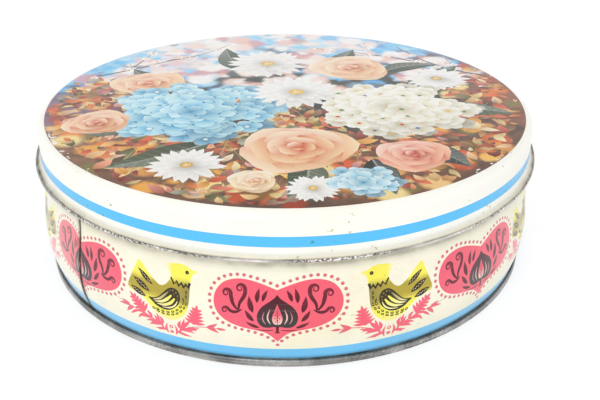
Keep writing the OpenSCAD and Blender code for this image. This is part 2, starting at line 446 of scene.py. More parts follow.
def drawBird(art):
    # body, collar, wing with its bars and dots, tail feathers, flecks and an eye
    f = frieze
    art.shape(through(birdEdge, 3, True), f["yellow"], kind=1)
    art.stroke(np.array(collar), (1.0, 1.05, 0.95, 0.9, 0.6), f["umber"])
    art.shape(through(wingEdge, 3, True), f["umber"])
    for path, width, a, b in wingBars:
        art.stroke(through(path, 4), width, f[a], f[b])
    for x, z, r in wingDots:
        art.dot((x, z), r, f["moss"], 8)
        art.dot((x, z), r * 0.45, f["umber"], 6)
    for root, tip, width in tailFeathers:
        art.leaf(root, tip, width, f["umber"], fat=0.95, count=11)
        root, d = np.array(root), np.subtract(tip, root)
        for k in range(8):
            t = 0.2 + 0.085 * k
            weave = across(d) * (0.17 * (-1) ** k * np.sin(pi * t))
            art.dot(root + t * d + weave, 0.16, f["lemon"], 6)
    for path, count in breastRows:
        p = evenly(through(path, 6), count)
        d = np.gradient(p, axis=0)
        for (x, z), a in zip(p, np.degrees(np.arctan2(d[:, 1], d[:, 0]))):
            art.dot((x, z), 0.66, f["umber"], 8, 0.62, a)
            art.dot((x, z + 0.04), 0.3, f["yellow"], 6, 0.45, a)
    for x, z, a in breastFlecks:
        art.dot((x, z), 0.62, f["umber"], 8, 0.5, a)
        art.dot((x, z), 0.25, f["moss"], 6, 0.5, a)
    art.dot((29.15, 32.9), 0.66, f["umber"], 10)
    art.dot((29.05, 32.95), 0.2, f["moss"], 6)


def drawSpray(art, root, tip, span, pairs):
    # a sprig: a stem with pairs of leaflets that shorten towards its tip; span is how far
    # they reach to the left and to the right
    f = frieze
    root, tip = np.array(root), np.array(tip)
    d = tip - root
    n = across(d)
    left, right = root + n * span[0] * 0.42 + d * 0.1, root - n * span[1] * 0.42 + d * 0.1
    art.shape(np.stack([right, tip, left, root]), f["pink"])
    for k in range(pairs):
        t = 0.08 + 0.84 * k / pairs
        for side, reach in ((1, span[0]), (-1, span[1])):
            r = reach * (1 - 0.72 * t)
            art.leaf(root + t * d, root + (t + 0.16) * d + n * side * r, 1.15,
                     f["pink"], f["pinkTip"], count=7)
    art.leaf(root + 0.7 * d, tip + 0.12 * d, 1.1, f["pink"], f["pinkTip"], count=7)


garlandStems = [  # path, widths
    ([(16.5, 15.0), (22.5, 15.1), (27.5, 14.2), (32.2, 12.2)], (0.2, 0.3, 0.35, 0.4)),
    ([(38.2, 12.4), (42.0, 14.0), (46.0, 15.2), (52.0, 16.4), (57.5, 17.6)], (0.4, 0.35, 0.3, 0.22, 0.12))]
garlandSprays = [((27.3, 15.2), (25.9, 21.9), (4.2, 3.6), 5), ((44.4, 15.6), (49.5, 20.8), (3.4, 3.4), 5)]
garland = [  # root, tip, width, bow of each leaf
    ((34.2, 9.0), (34.3, 13.9), 0.95, 0.8), ((36.5, 9.0), (36.4, 13.9), 0.95, -0.8),
    ((32.4, 12.2), (29.9, 15.5), 1.35, 0.3), ((32.6, 12.5), (31.6, 15.9), 1.2, -0.3),
    ((32.0, 11.9), (27.0, 11.6), 1.2, -0.6), ((31.0, 12.9), (25.2, 14.2), 1.35, 0.3),
    ((30.6, 13.3), (28.2, 16.4), 1.2, -0.3), ((38.3, 12.6), (41.3, 15.6), 1.35, -0.3),
    ((38.2, 12.8), (39.3, 15.8), 1.2, 0.3), ((38.4, 12.4), (43.6, 10.9), 1.5, 0.6),
    ((38.6, 12.9), (43.0, 12.6), 1.2, -0.3), ((41.6, 14.1), (46.8, 13.2), 1.35, 0.4),
    ((41.9, 14.3), (43.9, 16.6), 1.2, 0.2), ((48.6, 16.2), (51.9, 13.0), 1.35, 0.3),
    ((49.6, 16.0), (54.8, 15.5), 1.1, 0.3), ((50.2, 16.6), (53.6, 17.5), 0.9, -0.2),
    ((33.8, 11.0), (30.4, 9.3), 1.25, -0.45), ((32.6, 11.2), (28.2, 9.9), 1.1, 0.35),
    ((31.0, 12.4), (27.6, 13.3), 0.9, 0.0), ((36.9, 11.0), (40.4, 9.4), 1.25, 0.45),
    ((38.0, 11.3), (41.6, 10.2), 1.0, -0.3), ((40.0, 13.4), (44.6, 12.1), 1.1, 0.35),
    ((44.6, 14.9), (47.6, 11.9), 1.0, 0.3), ((46.8, 15.4), (50.4, 12.6), 1.0, 0.25),
    ((45.6, 15.1), (45.0, 18.0), 0.9, 0.0), ((33.1, 10.2), (32.1, 14.6), 0.8, 0.6),
    ((37.6, 10.2), (38.6, 14.6), 0.8, -0.6), ((31.8, 13.4), (30.4, 17.0), 1.0, 0.3),
    ((29.4, 13.8), (26.2, 12.6), 0.9, -0.3), ((39.6, 13.6), (40.4, 16.6), 0.9, 0.25),
    ((43.4, 14.6), (46.6, 15.9), 1.0, -0.25), ((22.9, 15.1), (19.0, 17.1), 1.25, 0.35),
    ((22.9, 15.1), (18.6, 13.3), 1.3, -0.35), ((19.6, 15.05), (16.1, 14.9), 1.0, 0.0)]


def drawGarland(art):
    # stems, two sprays and the leaves, rosier at both ends, with a ring and a dot between
    f = frieze
    for path, widths in garlandStems:
        art.stroke(through(path, 5), widths, f["rose"])
    for spray in garlandSprays:
        drawSpray(art, *spray)
    for root, tip, width, bow in garland:
        art.leaf(root, tip, width, f["pink"], f["pinkTip"] if 24 < root[0] < 48 else f["rose"], bow=bow)
    art.dot((35.35, 10.3), 0.72, f["pink"], 10)
    art.dot((35.35, 12.5), 0.72, f["pink"], 12)
    art.dot((35.35, 12.5), 0.3, f["cream"], 8)


def birdColour(s, z):
    # olive, and moss on the breast, between the belly's and the head's yellow, with lemon
    # at the belly's foot, the nape and the beak, and the crest faded into the ground
    f, t = frieze, birdTones
    up = np.clip((z - t["belly"][0] - t["slope"][0] * (s - t["slope"][1])) / t["belly"][1], 0, 1)
    drop, start, end = t["tail"]
    w = up * up * (3 - 2 * up) * (1 - ramp(z + drop * ramp(s, start, end), *t["neck"]))
    at, wide, most = t["mossy"]
    dark = np.clip((at - s) / wide, 0, 1) * (z < 31)
    body = linear(f["olive"]) * (1 - most * dark) + linear(f["moss"]) * most * dark
    foot, nape = np.clip((18.6 - z) / 3.0, 0, 1), np.clip((s - 34.4) / 2.2, 0, 1) * (z > 30.5) * (s < 38)
    edge = np.clip(foot + nape + np.clip((27.6 - s) / 2, 0, 1), 0, 1)
    bird = linear(f["yellow"]) * (1 - w) + body * w
    bird = bird * (1 - t["paler"] * edge) + linear(f["lemon"]) * t["paler"] * edge
    crest = t["crest"] * ramp(s, 34.2, 37.4) * (z > 30.5) * (s < 39.5)
    return bird * (1 - crest) + linear(f["cream"]) * crest


def wallColour(at, owner, art):
    # ground and stripe by height, the shapes' inks over them, and the birds' own tones
    f = frieze
    low = at.mean(1, keepdims=True)[..., 1:] < f["stripeTop"]
    ground = np.where(low, linear(f["stripe"]), linear(f["cream"])) * np.ones_like(at[..., 1:])
    isBird = np.array(art.kind + [0])[owner] == 1
    bird = birdColour(at[..., :1], at[..., 1:])
    return np.where(isBird[:, None, None], bird, inked(art, owner, at, ground))


# columns of a sector, in mm along the wall: one a degree, and closer ones by its end,
# where the side seam's groove and fold are
seamCols = [3.9, 3.5, 0.9, 0.62, 0.45, 0.28, 0.12]  # mm before the end
sectorCols = np.sort(np.concatenate([np.linspace(0, sectorLen, 46), sectorLen - np.array(seamCols)]))
linkedCols = 10  # of those by the end, whose edges are kept in the triangulation


def buildSector():
    # the print between two neighbouring heart middles, as a flat triangulated sheet
    art, f, cols = Print(), frieze, sectorCols
    drawHeart(art, 0.0)
    drawHeart(art, sectorLen)
    drawGarland(art)
    drawBird(art)
    rows = np.concatenate([[f["low"], 5.0, 6.6], np.linspace(f["stripeTop"], f["high"], 25)])
    stripeRow = 3
    grid = np.stack(np.meshgrid(cols, rows), -1).reshape(-1, 2)
    n, m = len(cols), len(rows)
    i = np.arange(n * m).reshape(m, n)
    lines = [i[r] for r in (0, stripeRow, m - 1)] + [i[:, 0]] + list(i[:, n - linkedCols:].T)
    links = [np.stack([line[:-1], line[1:]], 1) for line in lines]

    def inside(c):
        # whether a triangle's middle lies on the sheet
        return (c[:, 0] > 0) & (c[:, 0] < sectorLen) & (c[:, 1] > f["low"]) & (c[:, 1] < f["high"])

    co, tri, owner = printSheet(art, grid, np.concatenate(links), inside)
    for edge in (0, sectorLen):  # what crosses an end lies on it exactly, to meet the next sheet's
        co[np.abs(co[:, 0] - edge) < 1e-3, 0] = edge
    return co, tri, wallColour(co[tri], owner, art)


seam = {
    "grooveAt": -0.25, "grooveW": 0.36, "grooveDeep": 0.42, "lip": 0.07,  # on the outside
    "fold": 0.95, "from": -0.75, "to": 3.7, "low": 3.6, "high": 51.0,  # on the inside
    "behind": 6, "slip": 0.4, "lost": 3.0, "glareVeil": 0.1,  # print beyond it: high, lost in it, and paled as a painted veil of reflected glare
    "before": 7, "drift": 1.15, "sag": 0.4,  # print before it: nearer the front heart, and low
}
wallStains = [  # place along the wall and height, reaches, darkness
    (8.2, 37.0, 0.9, 1.8, 0.2), (23.4, 37.4, 1.5, 1.3, 0.17), (19.6, 37.8, 2.2, 0.8, 0.1)]
wallMap = {  # in mm: the map's side, its margin, and how many rows, from where and how far apart
    "side": 204, "margin": 2, "print": (3, 1.5, 39.5), "foot": 2.4, "shell": (2, 121, 41.2), "shrunk": 0.5}
printLow, printHigh = frieze["low"] + frieze["lift"], frieze["high"] + frieze["lift"]
neckSteps = 5  # points on the bare neck above the print


def wayFrom(angles, start):
    # signed distance from a direction, in mm along the wall
    return ((angles - start + 180) % 360 - 180) * wallMm


def outerR(z, angles):
    # belly, less a narrow bell for the seam's groove, plus a slight lip on its near side
    d = wayFrom(angles, tin["seamAz"])
    fade = ramp(z, printLow - 0.1, printLow + 0.7) * (1 - ramp(z, 50.4, 51.4))
    groove = seam["grooveDeep"] * bell(d, seam["grooveAt"], seam["grooveW"])
    lip = seam["lip"] * ramp(d, -0.1, 0.45) * (1 - ramp(d, 2.0, 5.5))
    return wallR(z) - fade * (groove - lip)


def innerR(z, angles):
    # belly less the sheet, less the folded seam where its hooks lie
    d, s = wayFrom(angles, tin["seamAz"]), seam
    fold = ramp(d, s["from"] - 0.2, s["from"] + 0.15) * (1 - ramp(d, s["to"] - 0.15, s["to"] + 0.2))
    fold = fold * ramp(z, s["low"] - 0.4, s["low"] + 0.3) * (1 - ramp(z, s["high"] - 0.4, s["high"] + 0.3))
    return wallR(z) - tin["sheet"] - s["fold"] * fold


def sectorAngle(k, deg):
    # direction of a place that lies deg along sector k; every other sector runs backwards
    return tin["heartAz"] + (sectorTurn * k + deg if k % 2 == 0 else sectorTurn * (k + 1) - deg)


def printedSectors():
    # the sheet bent round the wall, every other time mirrored; the two sectors by the side
    # seam are shifted a little, all but their upper and lower edges
    sheet, tri, colour = buildSector()
    f, co, faces, ink, angles = frieze, [], [], [], []
    for k in range(sectors):
        s, z = sheet.T.copy()
        held = ramp(z, f["low"], f["stripeTop"]) * (1 - ramp(z, 37, f["high"]))
        tint = colour
        if k == seam["behind"]:
            z += seam["slip"] * np.clip((sectorLen - s) / 0.3, 0, 1) * np.clip(s / 20, 0, 1) * held
            # painted reflection: beyond the seam the print is paled towards cream, more towards the seam,
            # as a veil of glare
            fade = seam["glareVeil"] * ramp(s, 0, 40)[tri][..., None]
            tint = colour + fade * (linear(f["cream"]) - colour)
            s += seam["lost"] * ramp(s, 4, 32) * ramp(s, sectorLen, sectorLen - 9) * held
        if k == seam["before"]:
            swell = np.sin(pi * s / sectorLen) ** 2
            s = s - seam["drift"] * swell * held
            z = z - seam["sag"] * swell * ramp(z, f["stripeTop"], 11) * held
        z += f["lift"]
        a = sectorAngle(k, s / wallMm)
        t, tint = (tri, tint) if k % 2 == 0 else (tri[:, ::-1], tint[:, ::-1])
        co.append(around(outerR(z, a), a, z))
        faces.append(t + k * len(sheet))
        ink.append(tint)
        angles.append(a[t])
    return [np.concatenate(parts) for parts in (co, faces, ink, angles)]


def wallShell():
    # outline from the print's upper edge, over the roll, down inside, round the hook and
    # back up to the print's lower edge; and which of its points are on the inside
    t, high = tin, seam["high"]
    inner = np.concatenate([
        np.linspace(curlZ, high + 0.3, 3), np.linspace(high - 0.4, bellyTop, 7),
        np.linspace(bellyTop, t["bellyZ"], 14)[1:], np.linspace(t["bellyZ"], bellyFoot + 0.6, 7)[1:],
        [bellyFoot + 0.3, bellyFoot]])
    neck = np.stack([np.full(neckSteps, t["neck"]), np.linspace(printHigh, curlZ, neckSteps)], 1)
    parts = [neck, bend(curlX, curlZ, t["curl"], 0, t["curlEnd"], 14)[1:],
             bend(curlX, curlZ, t["curl"] - t["sheet"], t["curlEnd"], 0, 18)]
    first = sum(map(len, parts))
    tipZ = seamTopZ - 0.1
    parts += [np.stack([wallR(inner) - t["sheet"], inner], 1)[1:],
              bend(layerR(3), hookZ, pitch + half, 180, 360, 30),
              [(layerR(4) + half, tipZ), (layerR(4) - half, tipZ)],
              bend(layerR(3), hookZ, pitch - half, 360, 180, 45), [(t["neck"], printLow)]]
    path = np.concatenate(parts)
    i = np.arange(len(path))
    return path, (i >= first) & (i < first + len(inner) - 1)


def shellRing(path, isInner, cols):
    # the outline carried round, with the side seam's fold on its inside and, where it
    # stands out as far as the neck, the seam's groove on its outside
    z, a = path[:, 1][:, None], cols[None]
    groove = (outerR(z, a) - wallR(z)) * (path[:, 0] > tin["neck"] - 0.001)[:, None]
    return around(np.where(isInner[:, None], innerR(z, a), path[:, 0][:, None] + groove), a, z)


def wallDirtAndShade(angles, high):
    # dirt along the side seam, wider and darker low down, and a few stains; painted shade at
    # the print's lower edge by the foot seam, and under the lid a veil and a line of painted shadow
    d, low = wayFrom(angles, tin["seamAz"]), ramp(high, 26, 8)
    dirtAndShade = bell(d, -0.2, 0.6 + 0.45 * low) * (1 + low) + 0.3 * bell(d, -0.5, 1.3) * (1.2 - low)
    # painted shade along the print's lower edge by the foot seam, and painted shadow under the lid: a veil,
    # and a line under its roll
    dirtAndShade += 0.4 * bell(high, printLow, 0.5) + 0.3 * ramp(high, 33.8, 38) + 0.3 * bell(high, 37.7, 0.6)
    along = wayFrom(angles, tin["heartAz"])
    for at, up, wide, tall, dark in wallStains:
        dirtAndShade += dark * np.exp(-((along - at) / wide) ** 2 - ((high - up) / tall) ** 2)
    return dirtAndShade


def printNormals(co):
    # across the wall's outline, and turned by the slope of the seam's groove
    z, a, eps = co[:, 2], np.degrees(np.arctan2(co[:, 1], co[:, 0])), 1e-3
    slopeZ = (outerR(z + eps, a) - outerR(z - eps, a)) / (2 * eps)
    slopeA = (outerR(z, a + eps) - outerR(z, a - eps)) / (2 * np.radians(eps)) / tin["arcR"]
    ca, sa = np.cos(np.radians(a)), np.sin(np.radians(a))
    normal = np.stack([ca + slopeA * sa, sa - slopeA * ca, -slopeZ], 1)
    return normal / np.linalg.norm(normal, axis=1)[:, None]


def buildWall(material):
    # the printed sectors, welded to the shell that closes them over the roll, inside and
    # below; the shell is bare over the roll and inside, and on the neck above the lid's foot
    co, tris, ink, triAngle = printedSectors()
    path, isInner = wallShell()
    cols = np.concatenate([sectorAngle(k, sectorCols / wallMm) for k in range(sectors)])
    cols = np.unique(np.round(cols, 6))
    if abs(cols[-1] - cols[0] - 360) < 1e-4:
        cols = cols[:-1]
    all3 = np.concatenate([co, shellRing(path, isInner, cols).reshape(-1, 3)])
    quads = gridQuads(len(path), len(cols))
    q = np.repeat(np.arange(len(path)), len(cols))[quads]  # the outline's point at each corner
    m, side = wallMap, wallMap["side"]
    row, v0, step = m["print"]
    high = all3[tris][..., 2]
    uvPrint = strip(triAngle, (high - m["foot"]) / side, row, wallMm / side,
                    m["margin"] / side, v0 / side, step / side)
    row, v0, step = m["shell"]
    uvShell = strip(np.tile(cols, len(path))[quads], lengths(path)[q] * m["shrunk"] / side, row,
                    wallMm * m["shrunk"] / side, m["margin"] / side, v0 / side, step / side)
    q, zero = q.ravel(), np.zeros(tris.size)
    bare = (path[q, 1] > lidFoot + 2) | (q >= neckSteps)
    inside = q >= np.argmax(isInner) - 8  # from within the roll on
    xyz, (tris, quads), first = welded(all3, [tris, quads + len(co)])
    normal = printNormals(xyz)
    normal[first >= len(co)] = 0
    corners = {
        "OFBake": [uvPrint, uvShell], "ink": [ink, np.tile(linear(frieze["cream"]), (q.size, 1))],
        "bare": [zero, bare], "inside": [zero, inside],
        # dirt and painted shade on the print; a faint even darkening over the shell
        "dirtAndShade": [wallDirtAndShade(triAngle.ravel(), high.ravel()), 0.06 * (q >= neckSteps)]}
    return meshPiece("printed_wall", xyz, [tris, quads], corners, material, normal)


bottomMap = {  # in the map's own units: middle and scale of either face, then the seam's strips
    "under": (0.285, 0.285, 0.5 / 180), "over": (0.815, 0.19, 0.33 / 180),
    "unit": 1 / 330, "rows": 2, "at": 0.6, "step": 0.105}
seamPoints = (38, 37)  # of the outline's points, these many on either side of the tip are the seam


def bottomPath():
    # panel with its pressed ring, down round the foot and over into the seam's hook
    t = tin
    mid = t["panelZ"] - half
    x = t["ringR"] + t["ringW"] * np.linspace(-0.5, 0.5, 17)
    lift = t["ringH"] * (1 + np.cos(2 * pi * (x - t["ringR"]) / t["ringW"])) / 2
    return np.concatenate([
        [(r, mid) for r in (6, 20, 40, 60, 70)], np.stack([x, mid + lift], 1),
        bend(layerR(1) - t["panelBend"], mid - t["panelBend"], t["panelBend"], 90, 0, 15),
        bend(layerR(2), half + pitch, pitch, 180, 270, 18),
        bend(layerR(4), half + pitch, pitch, 270, 360, 15),
        bend(layerR(4), seamTopZ, pitch, 0, 180, 20), [(layerR(3), hookZ + 0.1)]])


def onDisc(p, u, v, scale):
    # map coordinates of a face seen along the axis, about (u, v)
    return np.stack([u + p[..., 0] * scale, v + p[..., 1] * scale], -1)


def buildBottom(material):
    # both faces of the sheet, revolved, with a fan in the middle of either; in the map the
    # two faces are discs, and the seam between them lies in strips
    upper, lower = thickened(bottomPath(), tin["sheet"])
    path = np.concatenate([lower, upper[::-1]])
    cols = np.arange(0, 360, 1.5)
    n, m = len(path), len(cols)
    quads = gridQuads(n, m)
    co = np.concatenate([revolved(path, cols).reshape(-1, 3), [(0, 0, path[0, 1]), (0, 0, path[-1, 1])]])
    i, last = np.arange(m), (n - 1) * m
    fanLow = np.stack([i, np.full(m, n * m), (i + 1) % m], 1)
    fanTop = np.stack([last + i, last + (i + 1) % m, np.full(m, n * m + 1)], 1)
    row = np.repeat(np.arange(n), m)[quads].min(1)
    seamFrom, seamTo = len(upper) - seamPoints[0], len(upper) + seamPoints[1]
    b, run = bottomMap, lengths(path)
    v = np.repeat(run, m)[quads] - run[seamFrom]
    strips = strip(np.tile(cols, n)[quads], v * b["unit"], b["rows"], wallMm * b["unit"],
                   2 * b["unit"], b["at"], b["step"])
    below = (row < len(upper))[:, None, None]
    faces = np.where(below, onDisc(co[quads], *b["under"]), onDisc(co[quads], *b["over"]))
    faces = np.where(((row >= seamFrom) & (row < seamTo))[:, None, None], strips, faces)
    # the upper face is inside the tin, and the panel underneath is nearly as clean
    inside = np.where(row >= len(upper) + 12, 1.0, 0.4 * (row < seamFrom))
    corners = {"OFBake": [faces, onDisc(co[fanLow], *b["under"]), onDisc(co[fanTop], *b["over"])],
               "inside": [np.repeat(inside, 4), np.full(fanLow.size, 0.4), np.ones(fanTop.size)]}
    return meshPiece("bare_bottom", co, [quads, fanLow, fanTop], corners, material)


# the lid's picture: a garden bunch of blooms among blossom and autumn leaves, x to the
# right and y away, in mm
picture = {
    "seed": 11, "pitch": 1.75,  # of the random draws, and between the free points
    "lift": 0.9,  # how much the lighter inks gain, in linear light
    "ground": [  # x, y, reach, ink: soft patches that the far garden is mixed from
        (-60, 62, 22, "9CCBF2"), (-30, 74, 20, "FBEFE8"), (-78, 34, 17, "7CBCF2"), (-48, 46, 15, "F2D2C6"),
        (-10, 60, 17, "86C2F4"), (14, 78, 16, "FBEAE2"), (38, 66, 17, "62B0F6"), (62, 46, 15, "6E6C7A"),
        (58, 66, 11, "7CBEF6"), (80, 22, 13, "8A5A46"), (84, -8, 14, "84523C"), (64, -44, 18, "644A3E"),
        (36, -70, 18, "74503C"), (0, -80, 19, "5C483A"), (-34, -70, 18, "6C4E3C"), (-64, -46, 17, "84624E"),
        (-84, -12, 13, "7C6676"), (-70, 8, 12, "544A5C"), (0, 22, 30, "343C36"), (46, 6, 22, "30362E")],
    "blossom": ["F8E8E0", "F0CCC2", "FDF6F0", "E4B2AA", "C48E94", "FBDCD2"],
    "sky": ["7CC2F8", "58AEF2", "A8D8FA"],
    "soil": ["3A2C28", "54382C", "2C2A30", "6C4630"],
    "blurs": [  # between two directions in turns: inks, strength and number of the spots
        (0.06, 0.5, "soil", 0.5, 70), (0.05, 0.5, "sky", 0.85, 130), (0.06, 0.5, "blossom", 0.85, 230),
        (0.47, 1.08, "soil", 0.6, 110), (0.47, 1.08, "leafInks", 0.75, 300)],
    "twig": ("4A4442", "7A706A"), "litter": 2150, "grass": 70,
    "wear": [  # direction, spread and number of the flakes off the edge
        (207, 1.6, 16), (203, 0.8, 8), (214, 3.0, 8), (318, 4.0, 7), (96, 5.0, 6), (20, 6.0, 5)],
    "leafInks": ["EE7A28", "FAAA48", "C64E1E", "DC9A50", "FFDC94", "8A5E2A", "A03A1A", "76743A", "E45E2C",
                 "FCC684"],
    "darkInks": ["24381F", "33482A", "1C2A26", "3E4C2E"],
    "twigs": [  # from, to, width
        ((82, 30), (30, 60), 1.5), ((66, 40), (46, 76), 1.0), ((58, 44), (20, 46), 0.9),
        ((-84, 26), (-40, 52), 1.2), ((-66, 36), (-58, 66), 0.8), ((46, 52), (12, 66), 0.7),
        ((74, 34), (70, 52), 0.8), ((38, 56), (36, 74), 0.7), ((-52, 46), (-26, 70), 0.7),
        ((86, 10), (60, 30), 1.1)],
    "leaves": [  # x, y, length, width, direction
        (-34, -8, 38, 15, 2.6), (-26, -42, 38, 14, 3.7), (6, -56, 28, 13, 4.5), (44, -44, 24, 12, 5.4),
        (58, -12, 27, 13, -0.15), (50, 18, 32, 13, 0.75), (20, 32, 34, 13, 1.25), (-16, 34, 34, 13, 1.9),
        (-42, 14, 32, 13, 2.35), (28, -56, 26, 11, 4.9), (-52, -28, 28, 12, 3.2), (40, 32, 28, 11, 0.35)],
    "blooms": [  # from the back to the front: x, y, radius, deep and light ink; a daisy's middle;
        # a cluster's middles, and number, size and petals of its florets
        ("daisy", -8, 44, 18, "A4A29E", "FBF8F4", "D6A63A"),
        ("daisy", 62, 24, 14, "AAA8A4", "FCFAF6", "C29838"),
        ("rose", 28, 38, 17, "D0704A", "FFD4AE"),
        ("rose", -56, 18, 15, "C6603C", "FFCAA0"),
        ("cluster", 42, -10, 28, "CDBF98", "FFFCF0", ("C23A30", "3F8452", "E0A634", "3F6CA8"), 66, 6.4, 5),
        ("cluster", -34, -12, 31, "4C9ECC", "BCE8FA", ("F2EED6", "4C86A8"), 76, 7.0, 4),
        ("daisy", 4, 8, 18, "9E9C98", "FCFAF6", "DCAC3E"),
        ("rose", 4, -46, 20, "CA6038", "FFCCA2"),
        ("rose", 42, -52, 13, "C04A3C", "FCB89C"),
        ("daisy", -32, -60, 13, "A8A6A2", "FAF6F0", "C89A36"),
        ("rose", -68, -24, 12, "BE5834", "FFC298"),
        ("daisy", 8, -77, 9, "AAA8A4", "FCF8F2", "D0A23A"),
        ("cluster", 24, -72, 10, "6CA8CC", "CCEAF8", ("F2EED6", "4C86A8"), 16, 4.6, 4),
        ("rose", -10, -72, 8, "D08A5A", "FFE2BE")],
}
spiralTurn = 2.4  # golden angle, in radians
lightFrom = 2.2  # direction that the blooms' light comes from, in radians


def gardenInk(at):
    # soft patches weighted by a bell of their distance, with a slow ripple laid over, then
    # out-of-focus spots, each fading out over the last third of its radius
    g = picture["ground"]
    centre, reach = np.array([q[:2] for q in g], float), np.array([q[2] for q in g], float)
    w = np.exp(-((at[..., None, :] - centre) ** 2).sum(-1) / reach ** 2) + 1e-6
    colour = (w[..., None] * np.array([linear(q[3]) for q in g])).sum(-2) / w.sum(-1)[..., None]
    x, y = at[..., 0], at[..., 1]
    wave = np.sin(x * 0.43 + 1.7 * np.sin(y * 0.31)) * np.sin(y * 0.52 + 1.3 * np.sin(x * 0.27 + 1))
    fine = np.sin(x * 1.31 + 2 * np.sin(y * 0.9)) * np.sin(y * 1.17 + 2 * np.sin(x * 0.8))
    colour = colour * (1 + 0.2 * wave + 0.12 * fine)[..., None]
    rng = np.random.default_rng(picture["seed"] + 1)
    for low, high, name, share, count in picture["blurs"]:
        inks = picture[name]
        for _ in range(count):
            a, d = 2 * pi * rng.uniform(low, high), 88 * rng.random() ** 0.5
            size = 1.6 + 3.6 * rng.random() ** 1.5
            t = np.hypot(x - d * np.cos(a), y - d * np.sin(a)) / size
            w = share * np.clip((1.2 - t) / 0.35, 0, 1)[..., None]
            colour = colour * (1 - w) + linear(inks[rng.integers(len(inks))]) * w
    return colour


def shade(ink, gain):
    # an ink made lighter towards white or darker towards black, in linear light
    v = linear(ink)
    return np.clip(v * gain if gain <= 1 else v + (1 - v) * (gain - 1), 0, 1)


def hidden(c, share=0.8):
    # whether a place lies under a bloom: nearer its middle than a share of its radius
    return any(np.hypot(c[0] - x, c[1] - y) < share * r for _, x, y, r, *_ in picture["blooms"])


def reachOf(*points):
    # distance of the farthest of some points from the picture's middle
    return max(np.hypot(*p) for p in points)


def drawRose(art, rng, x, y, r, deep, light):
    # round wavy petals on a golden-angle spiral, each smaller and nearer the middle
    petals = 17
    for k in range(petals):
        a, reach = spiralTurn * k + x, r * (1 - k / petals) ** 0.75
        way = towards(a)
        c = np.array([x, y]) + 0.5 * reach * way
        lit = 1.04 + 0.22 * np.cos(a - lightFrom) + 0.08 * rng.standard_normal()
        u = np.linspace(0, 2 * pi, 15, endpoint=False)
        wob = 1 + 0.06 * np.sin(3 * u + k) + 0.04 * np.sin(5 * u + 2 * k)
        e = np.stack([0.56 * reach * np.cos(u) * wob, 0.72 * reach * np.sin(u) * wob], 1)
        art.shape(c + turnedBy(e, a), shade(deep, min(lit, 1.1)), shade(light, min(lit, 1.2)),
                  c - 0.2 * reach * way, c + 0.55 * reach * way)


def drawDaisy(art, rng, x, y, r, deep, light, heart):
    # rings of narrow petals round a button with a spiral of seeds
    at, seeds = np.array([x, y]), 9
    for reach, petals, turn in ((1.0, 21, 0.0), (0.8, 17, 0.15), (0.58, 13, 0.05)):
        for k in range(petals):
            a = 2 * pi * k / petals + turn + 0.06 * rng.standard_normal()
            d = towards(a)
            lit = 1.08 + 0.2 * np.cos(a - lightFrom) + 0.06 * rng.standard_normal()
            art.leaf(at + 0.08 * r * d, at + r * reach * (0.95 + 0.1 * rng.random()) * d, r * 0.26,
                     shade(deep, min(lit, 1.1)), shade(light, min(lit, 1.2)), fat=1.35, count=7)
    art.dot((x, y), r * 0.17, heart, 12)
    for k in range(seeds):
        art.dot(at + 0.1 * r * (k / seeds) ** 0.5 * towards(spiralTurn * k), r * 0.03, shade(heart, 1.4), 5)


def drawCluster(art, rng, x, y, r, deep, light, hearts, florets, size, petals):
    # florets spread evenly over a globe, lit from the upper left; each is a few round petals
    for k in range(florets):
        t = (florets - k - 0.5) / florets
        a = spiralTurn * k + 0.2 * rng.standard_normal()
        d = r * t ** 0.55
        cx, cy = x + d * np.cos(a), y + 0.92 * d * np.sin(a)
        lit = 0.95 + 0.3 * ((y - cy) * -0.6 + (x - cx) * 0.5) / r
        lit = lit + 0.1 * rng.standard_normal() - 0.25 * (t > 0.8)
        s = size * (1 - 0.25 * t) * (0.85 + 0.3 * rng.random())
        spin = rng.random() * 6.28
        art.dot((cx, cy), s * 0.9, shade(deep, np.clip(lit * 0.7, 0.2, 1.1)), 6)
        u = np.linspace(0, 2 * pi, 8, endpoint=False)
        petal = np.stack([0.52 * s * np.cos(u), 0.5 * s * np.sin(u)], 1)
        for j in range(petals):
            e = towards(spin + 2 * pi * j / petals)
            c = np.array([cx, cy]) + 0.52 * s * e
            art.shape(c + petal, shade(deep, np.clip(lit, 0.3, 1.1)), shade(light, np.clip(lit, 0.4, 1.2)),
                      (cx, cy), c + 0.5 * s * e)
        art.dot((cx, cy), s * 0.17, hearts[k % len(hearts)], 5)


def drawFoliage(art, rng, x, y, long, wide, angle, ink):
    # a leaf in two tones, half width times sin(pi t^0.75), with a midrib and side veins
    d, at, fat = towards(angle), np.array([x, y]), 0.75
    tip = at + long * d
    bow = 0.06 * long * rng.standard_normal()
    art.leaf((x, y), tip, wide, shade(ink, 0.75), shade(ink, 1.05), bow=bow, fat=fat, count=13)
    n = np.array([-d[1], d[0]])
    t = np.linspace(0, 1, 11)
    spine = at + t[:, None] * long * d + n * (bow * 4 * t * (1 - t))[:, None]
    span = (wide / 2 * np.sin(pi * t ** fat))[:, None] * n
    lighter = np.concatenate([spine, (spine + 0.96 * span)[-2:0:-1]])
    art.shape(lighter, shade(ink, 1.04), shade(ink, 1.15), (x, y), tip)
    art.stroke(spine[:-1], (wide * 0.07, wide * 0.03), shade(ink, 1.25))
    for k in range(2, 9):
        for side, gain in ((1, 1.2), (-1, 1.1)):
            p = spine[k]
            q = p + side * span[k] * 0.85 + 0.1 * long * d
            art.stroke(np.stack([p, (p + q) / 2 + 0.01 * long * d, q]), (wide * 0.035, wide * 0.015),
                       shade(ink, gain))


